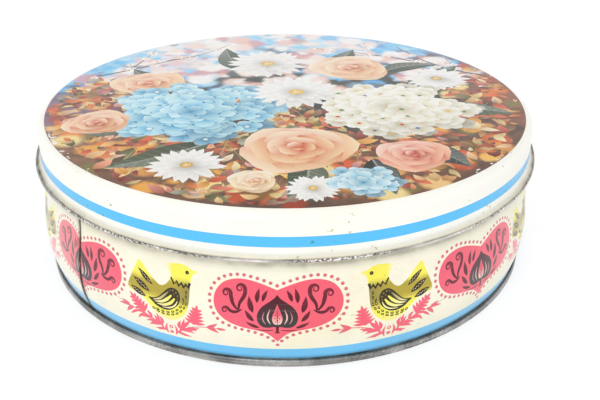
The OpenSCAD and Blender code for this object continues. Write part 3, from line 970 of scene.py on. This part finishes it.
def drawTwigs(art, rng):
    # bare wavy twigs with a few five-petalled blossoms on each
    p = picture
    for root, tip, w in p["twigs"]:
        root, tip = np.array(root), np.array(tip)
        t = np.linspace(0, 1, 9)[:, None]
        path = root + t * (tip - root) + np.array([0, 1]) * 2.2 * np.sin(t * 5 + w * 3)
        path = path[np.hypot(*path.T) < 87]
        art.stroke(path, (w, w * 0.5), *p["twig"])
        for c in path[::2] + rng.normal(0, 1.6, path[::2].shape):
            if reachOf(c) < 84 and not hidden(c, 0.95):
                for b in rng.random() * 6 + 2 * pi * np.arange(5) / 5:
                    tone = shade(p["blossom"][rng.integers(3)], 0.8 + 0.25 * rng.random())
                    art.dot(c + 1.1 * towards(b), 0.95, tone, 7)
                art.dot(c, 0.45, "C9707A", 6)


def drawLitter(art, rng):
    # fallen leaves low down and along both sides, the later and nearer ones brighter,
    # with thin stems and grass between them
    p, rim, inks = picture, tin["printR"], picture["leafInks"]
    for k in range(p["litter"]):
        a, d = rng.random() * 2 * pi, rim * rng.random() ** 0.5
        c = d * towards(a)
        long, b = 3.2 + 6 * rng.random(), rng.random() * 2 * pi
        e = c + long * towards(b)
        ink = shade(inks[rng.integers(len(inks))], 0.35 + 0.6 * k / p["litter"] + 0.4 * rng.random())
        bow = 0.5 * rng.standard_normal()
        out = max(reachOf(c, e), np.hypot(*(c + e)) / 2 + 0.3 * long + abs(bow))
        tooHigh = c[1] > 2 + 24 * abs(c[0]) / 86
        if tooHigh or out > rim - 0.4 or hidden(c, 0.85) or hidden(e, 0.7):
            continue
        art.leaf(c, e, long * (0.35 + 0.25 * rng.random()), shade(ink, 0.5), shade(ink, 1.08),
                 bow=bow, count=6)
        if k % 3 == 0:
            art.stroke(np.stack([c, (c + e) / 2, e]), (0.2, 0.1), shade(ink, 0.5))
    for k in range(p["grass"]):
        c = np.array([rng.uniform(-80, 80), rng.uniform(-80, 0)])
        e = c + np.array([rng.uniform(-8, 8), rng.uniform(6, 16)])
        lean, gain = rng.uniform(-2, 2, 2), 0.5 + 0.7 * rng.random()
        if reachOf(c, e) < 86 and not hidden(c):
            art.stroke(through([c, (c + e) / 2 + lean, e], 4), (0.5, 0.12), shade("6C7440", gain), "B8A45A")


def drawWear(art, rng):
    # flakes off the picture's edge that bare the white under it, in bunches at a few directions
    for way, spread, count in picture["wear"]:
        for _ in range(count):
            a, r = np.radians(way + spread * rng.standard_normal()), 0.25 + 0.5 * rng.random() ** 2
            d = tin["printR"] - 0.15 - 1.1 * r - 1.6 * rng.random() ** 3
            art.dot(d * towards(a), r, "FBF7EA", 7, 0.6 + 0.4 * rng.random(), rng.random() * pi)


lidCols = np.linspace(0, 360, 288, endpoint=False)  # columns round the lid, in degrees


def buildPicture():
    # everything from the far garden to the nearest bloom, as one triangulated disc
    p, art, rim = picture, Print(), tin["printR"]
    rng = np.random.default_rng(p["seed"])
    drawTwigs(art, rng)
    drawLitter(art, rng)
    for leaf in p["leaves"]:
        drawFoliage(art, rng, *leaf, p["darkInks"][rng.integers(4)])
    draw = {"rose": drawRose, "daisy": drawDaisy, "cluster": drawCluster}
    for kind, *bloom in p["blooms"]:
        draw[kind](art, rng, *bloom)
    drawWear(art, rng)
    g = np.arange(-90, 90, p["pitch"])
    x, y = np.meshgrid(g, g * 0.98)
    x = x + np.where(np.arange(len(g)) % 2, p["pitch"] / 2, 0)[:, None]
    free = [c for c in zip(x.ravel(), y.ravel()) if np.hypot(*c) < flatR - 1 and not hidden(c)]
    way = towards(np.radians(lidCols))
    i = np.arange(len(way))
    ring = np.stack([i, (i + 1) % len(i)], 1)
    co, tri, owner = printSheet(
        art, np.concatenate([flatR * way, rim * way, free]), np.concatenate([ring, ring + len(i)]),
        lambda c: np.hypot(c[:, 0], c[:, 1]) < rim)
    ink = np.clip(inked(art, owner, co[tri], gardenInk(co)[tri]), 0, 1)
    return co, tri, ink + p["lift"] * ink ** 1.5 * (1 - ink)


# flareShade is the cream in painted shade, on the flare by the roll
lidInk = {"cream": "FFFEF6", "flareShade": "F9F1DA", "stripe": "52C4FF",
          "stripeTop": lidTop - 7.93, "stripeFoot": lidTop - 11.53}
lidMap = {  # in mm: the map's side, the picture's middle, the strips of the skirt and of the inside
    "side": 244, "margin": 2, "disc": 92.5, "arc": 93, "skirt": (3, 188, 18.2, 0.7),
    "inner": (2, 188, 14, 0.36), "under": (150, 216, 0.28)}
rollPoints, underPoints = 6, 8  # of the outline: the end of the roll, and the top's underside


def shoulderAt(r):
    # height of the lid's top at a radius: flat, then the shoulder's arc
    out = np.clip(r - flatR, 0, tin["shoulder"])
    return shoulderZ + np.sqrt(tin["shoulder"] ** 2 - out ** 2)


def lidShell():
    # outline from the picture's edge over the shoulder, down the skirt, out into the
    # flare, round the roll to its cut edge, and back along the inside to the middle
    t, sheet, end = tin, tin["sheet"], tin["hemEnd"]
    start = np.degrees(np.arccos((t["printR"] - flatR) / t["shoulder"]))
    top, foot = lidInk["stripeTop"], lidInk["stripeFoot"]
    z = [shoulderZ - 1.2, shoulderZ - 2.4, shoulderZ - 3.6, top, top - 1.8, foot]
    outer = [bend(flatR, shoulderZ, t["shoulder"], start, 0, 8),
             np.stack([np.full(len(z), skirtOut), z], 1),
             bend(flareX, flareZ, t["flare"], 180, 180 + flareTurn, 8),
             bend(hemX, hemZ, t["hem"], flareTurn, end, 13)[1:]]
    inner = [bend(hemX, hemZ, t["hem"] - sheet, end, flareTurn, 22),
             bend(flareX, flareZ, t["flare"] + sheet, 180 + flareTurn, 180, 14)[1:],
             [(skirtIn, flareZ + up) for up in (1, 4, 7)],
             bend(flatR, shoulderZ, t["shoulder"] - sheet, 0, 90, 12),
             [(r, lidTop - sheet) for r in (85, 76, 64, 50, 34, 18, 6)]]
    return np.concatenate(outer), np.concatenate(inner)


def lidWear(high, x, run, isOuter, flank):
    # bare, chipped and dark shares: the roll has lost its print from its middle down, at the
    # two sides from higher up, and all behind it; a dark line of dirt runs where the print ends,
    # with a faint broad darkening about it, and painted shade over the roll and under it grows
    # towards the two sides; the picture's edge is chipped
    worn = hemZ + 0.6 + 0.9 * flank
    bare = np.where(isOuter, np.clip((worn - high) / 0.55, 0, 1), 1.0)
    bare = np.where(isOuter & (x < hemX) & (high < hemZ + 1.2), 1.0, bare)
    # a dark line of dirt where the print ends and a faint broad darkening about it, then painted shade
    # about the roll and under it, strongest at the two sides
    rollDirtAndShade = 0.6 * bell(high, worn - 0.25, 0.25) + (0.08 + 0.35 * flank) * bell(high, worn - 0.1, 1.2)
    rollDirtAndShade = rollDirtAndShade + 0.9 * flank * bell(high, hemZ - 0.7, 1.1)
    return bare, np.where(isOuter, bell(run, 0.1, 0.7), 0.0), np.where(isOuter, rollDirtAndShade, 0.05)


def lidTones(high, blue, flank):
    # cream with the blue stripe, and painted shade on the flare towards the roll, reaching higher at the
    # two sides
    tone = np.where(blue[:, None], linear(lidInk["stripe"]), linear(lidInk["cream"]))
    # painted shade: the cream turns to the shaded cream from the flare down to the roll
    flareShade = ramp(high, hemZ + 1.9 + 1.2 * flank, hemZ + 0.7)[:, None]
    return np.repeat(tone, 4, 0) * (1 - flareShade) + linear(lidInk["flareShade"]) * flareShade


def lidMapAt(co, angles, run, face, innerRow):
    # the skirt in upright strips beside the picture, the inside in strips above it, and the
    # top's underside as a small disc; run is the distance along the outline
    m, unit = lidMap, 1 / lidMap["side"]
    arc, margin = m["arc"] * pi / 180 * unit, m["margin"] * unit
    rows, x0, step, scale = m["skirt"]
    up = strip(angles, 0, rows, arc, margin, 0, 0)[..., 0]
    row = np.floor(middleOf(angles) / (360 / rows))[:, None]
    skirt = np.stack([(x0 + step * row + run * scale) * unit, up], -1)
    rows, v0, step, scale = m["inner"]
    inner = strip(angles, (run - run[face == innerRow].min()) * scale * unit, rows, arc * scale,
                  margin, v0 * unit, step * unit)
    x0, v0, scale = m["under"]
    under = onDisc(co, x0 * unit, v0 * unit, scale * unit)
    isInner = (face >= innerRow - 1)[:, None, None]
    isUnder = (face > face.max() + 1 - underPoints)[:, None, None]
    return np.where(isUnder, under, np.where(isInner, inner, skirt))


def shoulderNormals(co):
    # straight up on the flat, and leaning outwards with the shoulder's arc
    r = np.hypot(co[:, 0], co[:, 1])
    out = np.clip((r - flatR) / tin["shoulder"], 0, 1)
    lean = out / np.maximum(r, 1e-6)
    return np.stack([co[:, 0] * lean, co[:, 1] * lean, np.sqrt(1 - out ** 2)], 1)


def buildLid(material):
    # the picture's disc, welded to the outline that runs on from its edge and is carried
    # round, and closed by a fan under the middle
    flat, tri, colour = buildPicture()
    r = np.hypot(*flat.T)
    disc = np.concatenate([flat, shoulderAt(r)[:, None]], 1)
    outer, inner = lidShell()
    path = np.concatenate([outer, inner])
    n, m, start = len(path), len(lidCols), len(disc)
    centre = (0, 0, lidTop - tin["sheet"])
    all3 = np.concatenate([disc, revolved(path, lidCols).reshape(-1, 3), [centre]])
    quads = gridQuads(n, m)[:, ::-1]
    q, angles = np.repeat(np.arange(n), m)[quads], np.tile(lidCols, n)[quads]
    quads = quads + start
    i = np.arange(m) + start + (n - 1) * m
    fan = np.stack([i, np.full(m, len(all3) - 1), np.roll(i, -1)], 1)
    face, run = q.min(1), lengths(path)
    unit, (x0, v0, scale) = 1 / lidMap["side"], lidMap["under"]
    uv = [onDisc(flat[tri], lidMap["disc"] * unit, lidMap["disc"] * unit, unit),
          lidMapAt(all3[quads], angles, run[q], face, len(outer)),
          onDisc(all3[fan], x0 * unit, v0 * unit, scale * unit)]
    # colours by height, a face at a time, so that the stripe's edges are crisp
    mid = path[face, 1] / 2 + path[face + 1, 1] / 2
    blue = (face < len(outer)) & (mid < lidInk["stripeTop"]) & (mid > lidInk["stripeFoot"])
    # 1 at the two sides of the lid as seen from the front: there the print is worn higher off the roll and
    # the painted shade is strongest
    flank = np.cos(np.radians(angles.ravel() - 4)) ** 4
    q = q.ravel()
    bare, edge, dirtAndShade = lidWear(path[q, 1], path[q, 0], run[q], q < len(outer), flank)
    zero, one = np.zeros(tri.size), np.ones(fan.size)
    corners = {
        "OFBake": uv,
        "ink": [colour, lidTones(path[q, 1], blue, flank),
                np.tile(linear(lidInk["cream"]), (fan.size, 1))],
        "bare": [zero, bare, one], "edge": [bell(r[tri], tin["printR"], 0.8).ravel(), edge, 0 * one],
        # dirt and painted shade on the outline; a faint even darkening under the middle
        "inside": [zero, q >= len(outer) - rollPoints, one], "dirtAndShade": [zero, dirtAndShade, 0.05 * one]}
    xyz, faces, first = welded(all3, [tri, quads, fan])
    normal = shoulderNormals(xyz)
    normal[first >= start] = 0
    return meshPiece("printed_lid", xyz, faces, corners, material, normal)


bumpDepth = 0.00006  # metres that the highest marks stand out, for the shading alone


class Net:
    # short ways to add nodes to a tree; every input takes a value or a socket to link from
    def __init__(self, tree):
        # where is the coordinates node's output, made when it is first asked for
        self.tree, self.where = tree, None

    def add(self, kind, inputs=None, **settings):
        # a node with its settings and its inputs, by name or by place
        node = self.tree.nodes.new(kind)
        for key, value in settings.items():
            setattr(node, key, value)
        for key, value in (inputs or {}).items():
            if isinstance(value, bpy.types.NodeSocket):
                self.tree.links.new(value, node.inputs[key])
            else:
                node.inputs[key].default_value = value
        return node

    def math(self, how, a, b=0.0, c=0.0, clamp=False):
        # one sum of up to three numbers, kept within 0 and 1 when clamped
        return self.add("ShaderNodeMath", {0: a, 1: b, 2: c}, operation=how, use_clamp=clamp).outputs[0]

    def times(self, a, b, clamp=False):
        # a by b
        return self.math("MULTIPLY", a, b, clamp=clamp)

    def plus(self, a, b):
        # a and b together
        return self.math("ADD", a, b)

    def minus(self, a, b, clamp=False):
        # a less b
        return self.math("SUBTRACT", a, b, clamp=clamp)

    def most(self, a, b):
        # the larger of a and b
        return self.math("MAXIMUM", a, b)

    def over(self, a, b):
        # 1 where a is more than b
        return self.math("GREATER_THAN", a, b)

    def blend(self, t, a, b):
        # number from a to b by the mask t
        return self.add("ShaderNodeMix", {0: t, 2: a, 3: b}).outputs[0]

    def mix(self, t, a, b, how="MIX"):
        # colour from a to b by the mask t, or to another blend of the two
        node = self.add("ShaderNodeMix", {0: t, 6: a, 7: b}, data_type="RGBA", blend_type=how)
        return node.outputs[2]

    def stain(self, t, a, b):
        # colour a, and where the mask t is 1, a times b
        return self.mix(t, a, b, "MULTIPLY")

    def grey(self, value):
        # a number as a colour
        return self.add("ShaderNodeCombineColor", {i: value for i in range(3)}).outputs[0]

    def place(self):
        # object coordinates, from one node that the whole tree shares
        if self.where is None:
            self.where = self.add("ShaderNodeTexCoord").outputs["Object"]
        return self.where

    def noise(self, scale, detail, rough, where=None):
        # cloudy noise, about 0.5 in the mean; scale in lumps a metre
        inputs = {"Vector": where or self.place(), "Scale": scale, "Detail": detail,
                  "Roughness": rough, "Distortion": 0.0}
        return self.add("ShaderNodeTexNoise", inputs).outputs["Fac"]

    def ramp(self, value, a, b, c=0.0, d=1.0):
        # smooth step from a to b, put out as c to d
        inputs = {"Value": value, "From Min": a, "From Max": b, "To Min": c, "To Max": d}
        return self.add("ShaderNodeMapRange", inputs, interpolation_type="SMOOTHSTEP").outputs[0]

    def patches(self, scale, detail, rough, a, b):
        # noise cut to where it is high: smooth step from a to b
        return self.ramp(self.noise(scale, detail, rough), a, b)

    def vector(self, how, a, b=None, scale=None):
        # one sum of vectors; a length comes out as a number
        given = {key: v for key, v in {0: a, 1: b, "Scale": scale}.items() if v is not None}
        node = self.add("ShaderNodeVectorMath", given, operation=how)
        return node.outputs["Value" if how == "LENGTH" else 0]

    def attribute(self, name, out="Fac"):
        # a mask or a colour that the mesh carries at its corners
        return self.add("ShaderNodeAttribute", attribute_name=name).outputs[out]

    def group(self, name, **inputs):
        # outputs of a shared node group
        return self.add("ShaderNodeGroup", inputs, node_tree=bpy.data.node_groups[name]).outputs

    def bump(self, height, strength):
        # normal that leans with the slope of a height
        inputs = {"Height": height, "Strength": strength, "Distance": bumpDepth}
        return self.add("ShaderNodeBump", inputs).outputs[0]

    def finish(self, shader, kind="Material"):
        # the shader's output goes to the material or the world
        self.tree.links.new(shader.outputs[0], self.add("ShaderNodeOutput" + kind).inputs[0])


def newGroup(name, ins, outs):
    # an empty node group with its sockets, where a default of None and the label Colour
    # stand for a colour; returns its net and its inputs
    tree = bpy.data.node_groups.new(name, "ShaderNodeTree")
    for label, value in ins.items():
        kind = "Color" if value is None else "Float"
        socket = tree.interface.new_socket(label, in_out="INPUT", socket_type="NodeSocket" + kind)
        if value is not None:
            socket.default_value = value
    for label in outs:
        kind = "Color" if label == "Colour" else "Float"
        tree.interface.new_socket(label, in_out="OUTPUT", socket_type="NodeSocket" + kind)
    net = Net(tree)
    return net, net.add("NodeGroupInput").outputs


def putOut(net, **values):
    # links values to the group's outputs
    net.add("NodeGroupOutput", values)


def turned(net, slow, fast):
    # place on the tin for marks that run round it: direction from the axis times a slow
    # scale, and radius with height times a fast one
    flat = net.vector("MULTIPLY", net.place(), (1, 1, 0))
    way = net.vector("SCALE", net.vector("NORMALIZE", flat), scale=slow)
    z = net.add("ShaderNodeSeparateXYZ", {0: net.place()}).outputs[2]
    up = net.times(net.plus(net.vector("LENGTH", flat), net.times(z, 0.73)), fast)
    return net.vector("ADD", way, net.add("ShaderNodeCombineXYZ", {2: up}).outputs[0])


def tinplateGroup():
    # bare sheet: dull patches, marks that run round the tin, pits and rust specks; Bite
    # darkens and brightens it in a coarse grain, all but in clean patches
    ins = {"Gold": 0.0, "Rust": 0.5, "Bite": 0.0, "Bright": 1.0}
    net, given = newGroup("tinplate", ins, ("Colour", "Roughness", "Height", "Rusty"))
    marks = net.noise(1.0, 3, 0.6, turned(net, 3.5, 2600))
    long = net.noise(1.0, 2, 0.5, turned(net, 1.2, 900))
    spangle = net.add("ShaderNodeTexVoronoi", {"Vector": net.place(), "Scale": 900.0}).outputs["Distance"]
    rusty = net.times(net.patches(210, 4, 0.65, 0.6, 0.7), net.patches(26, 3, 0.5, 0.5, 0.64))
    rusty = net.times(rusty, given["Rust"], clamp=True)
    base = net.mix(net.patches(70, 5, 0.6, 0.36, 0.66), (0.22, 0.216, 0.206, 1), (0.44, 0.43, 0.41, 1))
    base = net.stain(1.0, base, net.grey(given["Bright"]))
    base = net.mix(given["Gold"], base, (0.66, 0.55, 0.34, 1))
    base = net.stain(0.8, base, net.grey(net.ramp(marks, 0.25, 0.75, 0.55, 1.25)))
    low, clean, high = (net.math("MULTIPLY_ADD", given["Bite"], k, 1.0) for k in (-0.85, 0.45, 0.9))
    grain = {"Value": net.noise(1150, 3, 0.6), "From Min": 0.42, "From Max": 0.58,
             "To Min": low, "To Max": high}
    bite = net.add("ShaderNodeMapRange", grain).outputs[0]
    bite = net.blend(net.patches(30, 2, 0.5, 0.38, 0.56), clean, bite)
    base = net.mix(net.times(rusty, 0.85), net.stain(1.0, base, net.grey(bite)), (0.16, 0.075, 0.03, 1))
    rough = net.plus(net.ramp(long, 0.3, 0.7, 0.2, 0.42), net.times(rusty, 0.4))
    pits = net.patches(1500, 2, 0.5, 0.62, 0.7)
    high = net.plus(net.times(marks, 0.6), net.times(pits, -0.5))
    putOut(net, Colour=base, Roughness=net.plus(rough, net.ramp(spangle, 0.0, 0.8, -0.03, 0.05)),
           Height=net.plus(high, net.times(rusty, 0.7)), Rusty=rusty)


def inkGroup():
    # printed ink: fine grain, slow mottling and yellowing, and grime in patches
    ins = {"Ink": None, "Grain": 0.06, "Yellow": 0.3, "Grime": 0.2, "Specks": 0.5}
    net, given = newGroup("agedInk", ins, ("Colour", "Smudge"))
    grain = net.math("MULTIPLY_ADD", net.minus(net.noise(2400, 2, 0.5), 0.5), given["Grain"], 1.0)
    slow = net.patches(34, 4, 0.55, 0.4, 0.72)
    film = net.patches(58, 6, 0.7, 0.5, 0.72)
    speck = net.times(net.patches(460, 3, 0.5, 0.68, 0.72), net.patches(27, 2, 0.5, 0.54, 0.6))
    colour = net.stain(1.0, given["Ink"], net.grey(grain))
    colour = net.stain(net.times(slow, given["Yellow"]), colour, (0.9, 0.82, 0.6, 1))
    colour = net.stain(net.times(film, given["Grime"]), colour, (0.6, 0.56, 0.46, 1))
    colour = net.stain(net.times(speck, given["Specks"]), colour, (0.6, 0.52, 0.3, 1))
    putOut(net, Colour=colour, Smudge=net.patches(46, 5, 0.62, 0.35, 0.7))


def chipGroup():
    # where the print is gone: the bare attribute with a ragged edge, and small chips that
    # gather along edges, white unless they are deep, with a stained rim
    ins = {"Bare": 0.0, "Edge": 0.0, "Amount": 0.5}
    net, given = newGroup("chips", ins, ("Metal", "Rim", "White"))
    speck = net.noise(330, 4, 0.6)
    ragged = net.times(net.minus(net.noise(620, 5, 0.66), 0.5), 0.35)
    worn = net.ramp(net.plus(given["Bare"], ragged), 0.38, 0.62)
    edge = net.times(given["Edge"], net.ramp(net.noise(24, 2, 0.5), 0.44, 0.66, 0.15, 1.0))
    level = net.minus(0.815, net.times(net.times(edge, given["Amount"]), 0.36))
    chip, near = net.over(speck, level), net.over(speck, net.minus(level, 0.03))
    byEdge = net.times(chip, net.over(given["Edge"], 0.04))
    deep = net.over(speck, net.plus(level, 0.09))
    shallow = net.times(byEdge, net.minus(1.0, deep))
    metal = net.most(worn, net.minus(chip, shallow, clamp=True))
    putOut(net, Metal=metal, Rim=net.minus(near, net.most(metal, chip), clamp=True),
           White=net.minus(byEdge, metal, clamp=True))


def scratchGroup():
    # hairline scratches from handling: two thin crossing sets kept only in patches
    net, given = newGroup("handling", {"Scale": 1.0}, ("Scratch", "Peel"))
    lines = []
    for turn, seed in ((0.5, 0.0), (2.2, 3.0)):
        spot = {"Vector": net.place(), "Location": (seed, seed, 0), "Rotation": (0.3, 0.2, turn),
                "Scale": (26, 1100, 1100)}
        way = net.add("ShaderNodeMapping", spot).outputs[0]
        lines.append(net.ramp(net.noise(1.0, 2, 0.5, way), 0.69, 0.74))
    both = net.times(net.most(*lines), net.patches(38, 2, 0.5, 0.45, 0.6))
    putOut(net, Scratch=net.times(both, given["Scale"]), Peel=net.noise(420, 2, 0.5))


def newMaterial(name):
    # an empty material, and the net of its tree
    mat = bpy.data.materials.new(name)
    mat.use_nodes = True
    mat.node_tree.nodes.clear()
    return mat, Net(mat.node_tree)


def sheetMetal(net, look):
    # bare sheet, which is cleaner, brighter and faintly golden where it faces inwards
    inside = net.attribute("inside")
    ends = {"Gold": (0.0, look["gold"]), "Rust": (look["rust"], 0.35 * look["rust"]),
            "Bite": (look["bite"], 0.0), "Bright": (look["bright"], look["lining"])}
    given = {key: net.math("MULTIPLY_ADD", inside, b - a, a) for key, (a, b) in ends.items()}
    return net.group("tinplate", **given)


def printedMaterial(name, look):
    # varnished print over tinplate: the chips' mask swaps colour, roughness and metal, and
    # the mask of dirt and painted shade takes the colour down and the varnish off
    mat, net = newMaterial(name)
    ink = net.group("agedInk", Ink=net.attribute("ink", "Color"),
                    **{key.title(): look[key] for key in ("grain", "yellow", "grime", "specks")})
    chips = net.group("chips", Bare=net.attribute("bare"), Edge=net.attribute("edge"),
                      Amount=look["chips"])
    plate, hand = sheetMetal(net, look), net.group("handling", Scale=look["scratch"])
    colour = net.mix(net.times(hand["Scratch"], 0.35), ink["Colour"], (0.8, 0.79, 0.74, 1))
    colour = net.mix(chips["White"], colour, (0.86, 0.85, 0.8, 1))
    colour = net.mix(net.times(chips["Rim"], 0.75), colour, (0.42, 0.33, 0.2, 1))
    colour = net.mix(chips["Metal"], colour, plate["Colour"])
    uneven = net.ramp(net.noise(160, 4, 0.6), 0.2, 0.75, 0.55, 1.25)
    # dirt and painted shade, made uneven, darken the colour towards a warm dark
    dirtAndShade = net.times(net.attribute("dirtAndShade"), uneven, clamp=True)
    colour = net.mix(dirtAndShade, colour, net.stain(1.0, colour, (0.1, 0.09, 0.065, 1)))
    inkRough = net.math("MULTIPLY_ADD", ink["Smudge"], look["smudge"], look["rough"])
    high = net.math("MULTIPLY_ADD", hand["Peel"], look["peel"], net.times(hand["Scratch"], -0.25))
    high = net.blend(chips["Metal"], net.plus(high, 0.5), net.times(plate["Height"], 0.3))
    clean = net.minus(1.0, net.most(chips["Metal"], dirtAndShade))
    net.finish(net.add("ShaderNodeBsdfPrincipled", {
        "Base Color": colour, "Metallic": net.times(chips["Metal"], net.minus(1.0, plate["Rusty"])),
        "Roughness": net.blend(chips["Metal"], inkRough, plate["Roughness"]),
        "Coat Weight": net.times(clean, look["coat"]), "Coat Roughness": look["coatRough"],
        "Specular IOR Level": look["specular"], "Sheen Weight": look["dust"],
        "Sheen Roughness": look["dustRough"], "Normal": net.bump(high, look["bump"])}))
    return mat


def bareMaterial(name, look):
    # bare sheet with scratches cut into its marks
    mat, net = newMaterial(name)
    plate = sheetMetal(net, look)
    scratch = net.times(net.group("handling", Scale=look["scratch"])["Scratch"], -0.4)
    net.finish(net.add("ShaderNodeBsdfPrincipled", {
        "Base Color": plate["Colour"], "Roughness": plate["Roughness"],
        "Metallic": net.minus(1.0, plate["Rusty"]),
        "Normal": net.bump(net.plus(plate["Height"], scratch), look["bump"])}))
    return mat


wallLook = {
    "grain": 0.05, "yellow": 0.3, "grime": 0.14, "specks": 0.5, "chips": 0.5, "scratch": 0.15,  # print
    "smudge": 0.14, "rough": 0.34, "peel": 0.12, "bump": 0.35, "coat": 0.28, "coatRough": 0.13,  # varnish
    "specular": 0.08, "dust": 0.55, "dustRough": 0.45,
    "gold": 0.35, "rust": 0.5, "bite": 0.3, "bright": 1.6, "lining": 2.2}  # bare sheet
lidLook = dict(wallLook, bite=0.9, bright=1.8, dust=0.05, grain=0.12, yellow=0.2, grime=0.06,
               specks=0.8, chips=0.6, coat=0.5, specular=0.3)
bareLook = {"gold": 0.3, "rust": 0.8, "bite": 0.25, "bright": 1.0, "lining": 2.2, "scratch": 1.0,
            "bump": 0.5}

tinplateGroup()
inkGroup()
chipGroup()
scratchGroup()
print("materials made")

wall = buildWall(printedMaterial("printedWall", wallLook))
print("wall made:", len(wall.data.polygons), "faces")
lid = buildLid(printedMaterial("printedLid", lidLook))
print("lid made:", len(lid.data.polygons), "faces")
bottom = buildBottom(bareMaterial("bareTinplate", bareLook))
print("bottom made:", len(bottom.data.polygons), "faces")

for piece, body, node, slot in ((wall, "tin", "wall", "printed_wall"),
                                (lid, "lid", "lid", "printed_lid"),
                                (bottom, "tin", "bottom", "bare_tinplate")):
    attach(piece, body)
    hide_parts(node)


stage = {
    "floor": 3.0, "floorTone": 0.92,  # half side in metres; tone as the light meets it
    "under": 0.34, "glow": 0.72,  # the floor to the camera: share that shades, share that glows
    "world": 0.85, "backdrop": (0.26, 0.46), "room": 0.15,  # light; heights and dark of the room
    "key": 4.0, "keySize": 0.9, "keyAt": (-0.25, -1.0, 0.85), "keyTo": (0, 0, 0.03)}
camera = {
    "away": 0.31662,  # metres from the middle of the lid's top
    "turns": (20.317, 1.067, 27.396, 0.243),  # degrees: elevation, yaw, downward tilt, roll
    "lens": 48.834, "sensor": 36, "clip": (0.01, 20)}


def seenDirectly(net):
    # 1 for the camera's rays and for reflected and refracted ones; and 1 for reflected ones
    seen = net.add("ShaderNodeLightPath").outputs
    bounced = net.most(seen["Is Glossy Ray"], seen["Is Transmission Ray"])
    return net.most(seen["Is Camera Ray"], bounced), seen["Is Glossy Ray"]


def buildFloor():
    # a wide flat sheet, white to the camera and still shaded a little by the tin
    g = np.linspace(-stage["floor"], stage["floor"], 13)
    x, y = np.meshgrid(g, g)
    me = bpy.data.meshes.new("floor")
    co = np.stack([x.ravel(), y.ravel(), np.full(x.size, -0.00002)], 1)
    me.from_pydata(co.tolist(), [], gridQuads(len(g), len(g), False).tolist())
    floor = bpy.data.objects.new("floor", me)
    bpy.context.scene.collection.objects.link(floor)
    mat, net = newMaterial("paleFloor")
    plain, soft = (net.add("ShaderNodeBsdfDiffuse", {"Color": (tone, tone, tone, 1)}).outputs[0]
                   for tone in (stage["floorTone"], stage["under"]))
    glow = net.add("ShaderNodeEmission", {"Strength": stage["glow"]}).outputs[0]
    both = net.add("ShaderNodeAddShader", {0: soft, 1: glow}).outputs[0]
    net.finish(net.add("ShaderNodeMixShader", {0: seenDirectly(net)[0], 1: plain, 2: both}))
    me.materials.append(mat)


def buildWorld():
    # white to the camera, a little under white as light; reflections see a bright backdrop
    # low down and a darker room overhead
    world = bpy.data.worlds.new("studio")
    world.use_nodes = True
    world.node_tree.nodes.clear()
    net = Net(world.node_tree)
    direct, glossy = seenDirectly(net)
    sky = net.add("ShaderNodeTexCoord").outputs["Generated"]
    up = net.add("ShaderNodeSeparateXYZ", {0: sky}).outputs[2]
    darker = net.times(glossy, net.minus(1.0, net.ramp(up, *stage["backdrop"], 1.0, stage["room"])))
    strength = net.math("MULTIPLY_ADD", direct, 1 - stage["world"], stage["world"])
    white = {"Color": (1, 1, 1, 1), "Strength": net.minus(strength, darker)}
    net.finish(net.add("ShaderNodeBackground", white), "World")
    bpy.context.scene.world = world


def buildLamp():
    # a round soft light, turned towards the tin
    lamp = bpy.data.lights.new("key", "AREA")
    lamp.shape, lamp.size, lamp.energy = "DISK", stage["keySize"], stage["key"]
    ob = bpy.data.objects.new("key", lamp)
    ob.location = stage["keyAt"]
    way = Vector(stage["keyTo"]) - Vector(stage["keyAt"])
    ob.rotation_euler = way.to_track_quat("-Z", "Y").to_euler()
    bpy.context.scene.collection.objects.link(ob)


def buildCamera():
    # stands back from the middle of the lid's top at an elevation, then is aimed by yaw,
    # downward tilt and roll
    away = camera["away"]
    rise, yaw, tilt, roll = np.radians(camera["turns"])
    forward = np.array([np.sin(yaw) * np.cos(tilt), np.cos(yaw) * np.cos(tilt), -np.sin(tilt)])
    right = np.array([np.cos(yaw), -np.sin(yaw), 0])
    down = np.cross(forward, right)
    x = np.cos(roll) * right - np.sin(roll) * down
    y = -(np.sin(roll) * right + np.cos(roll) * down)
    cam = bpy.data.cameras.new("camera")
    cam.lens, cam.sensor_width = camera["lens"], camera["sensor"]
    cam.clip_start, cam.clip_end = camera["clip"]
    ob = bpy.data.objects.new("camera", cam)
    at = (0, -away * np.cos(rise), lidTop * mm + away * np.sin(rise))
    ob.matrix_world = Matrix([[x[k], y[k], -forward[k], at[k]] for k in range(3)] + [[0, 0, 0, 1]])
    bpy.context.scene.collection.objects.link(ob)
    bpy.context.scene.camera = ob


buildFloor()
buildWorld()
buildLamp()
buildCamera()
bpy.context.scene.view_settings.view_transform = "Standard"
print("stage set")
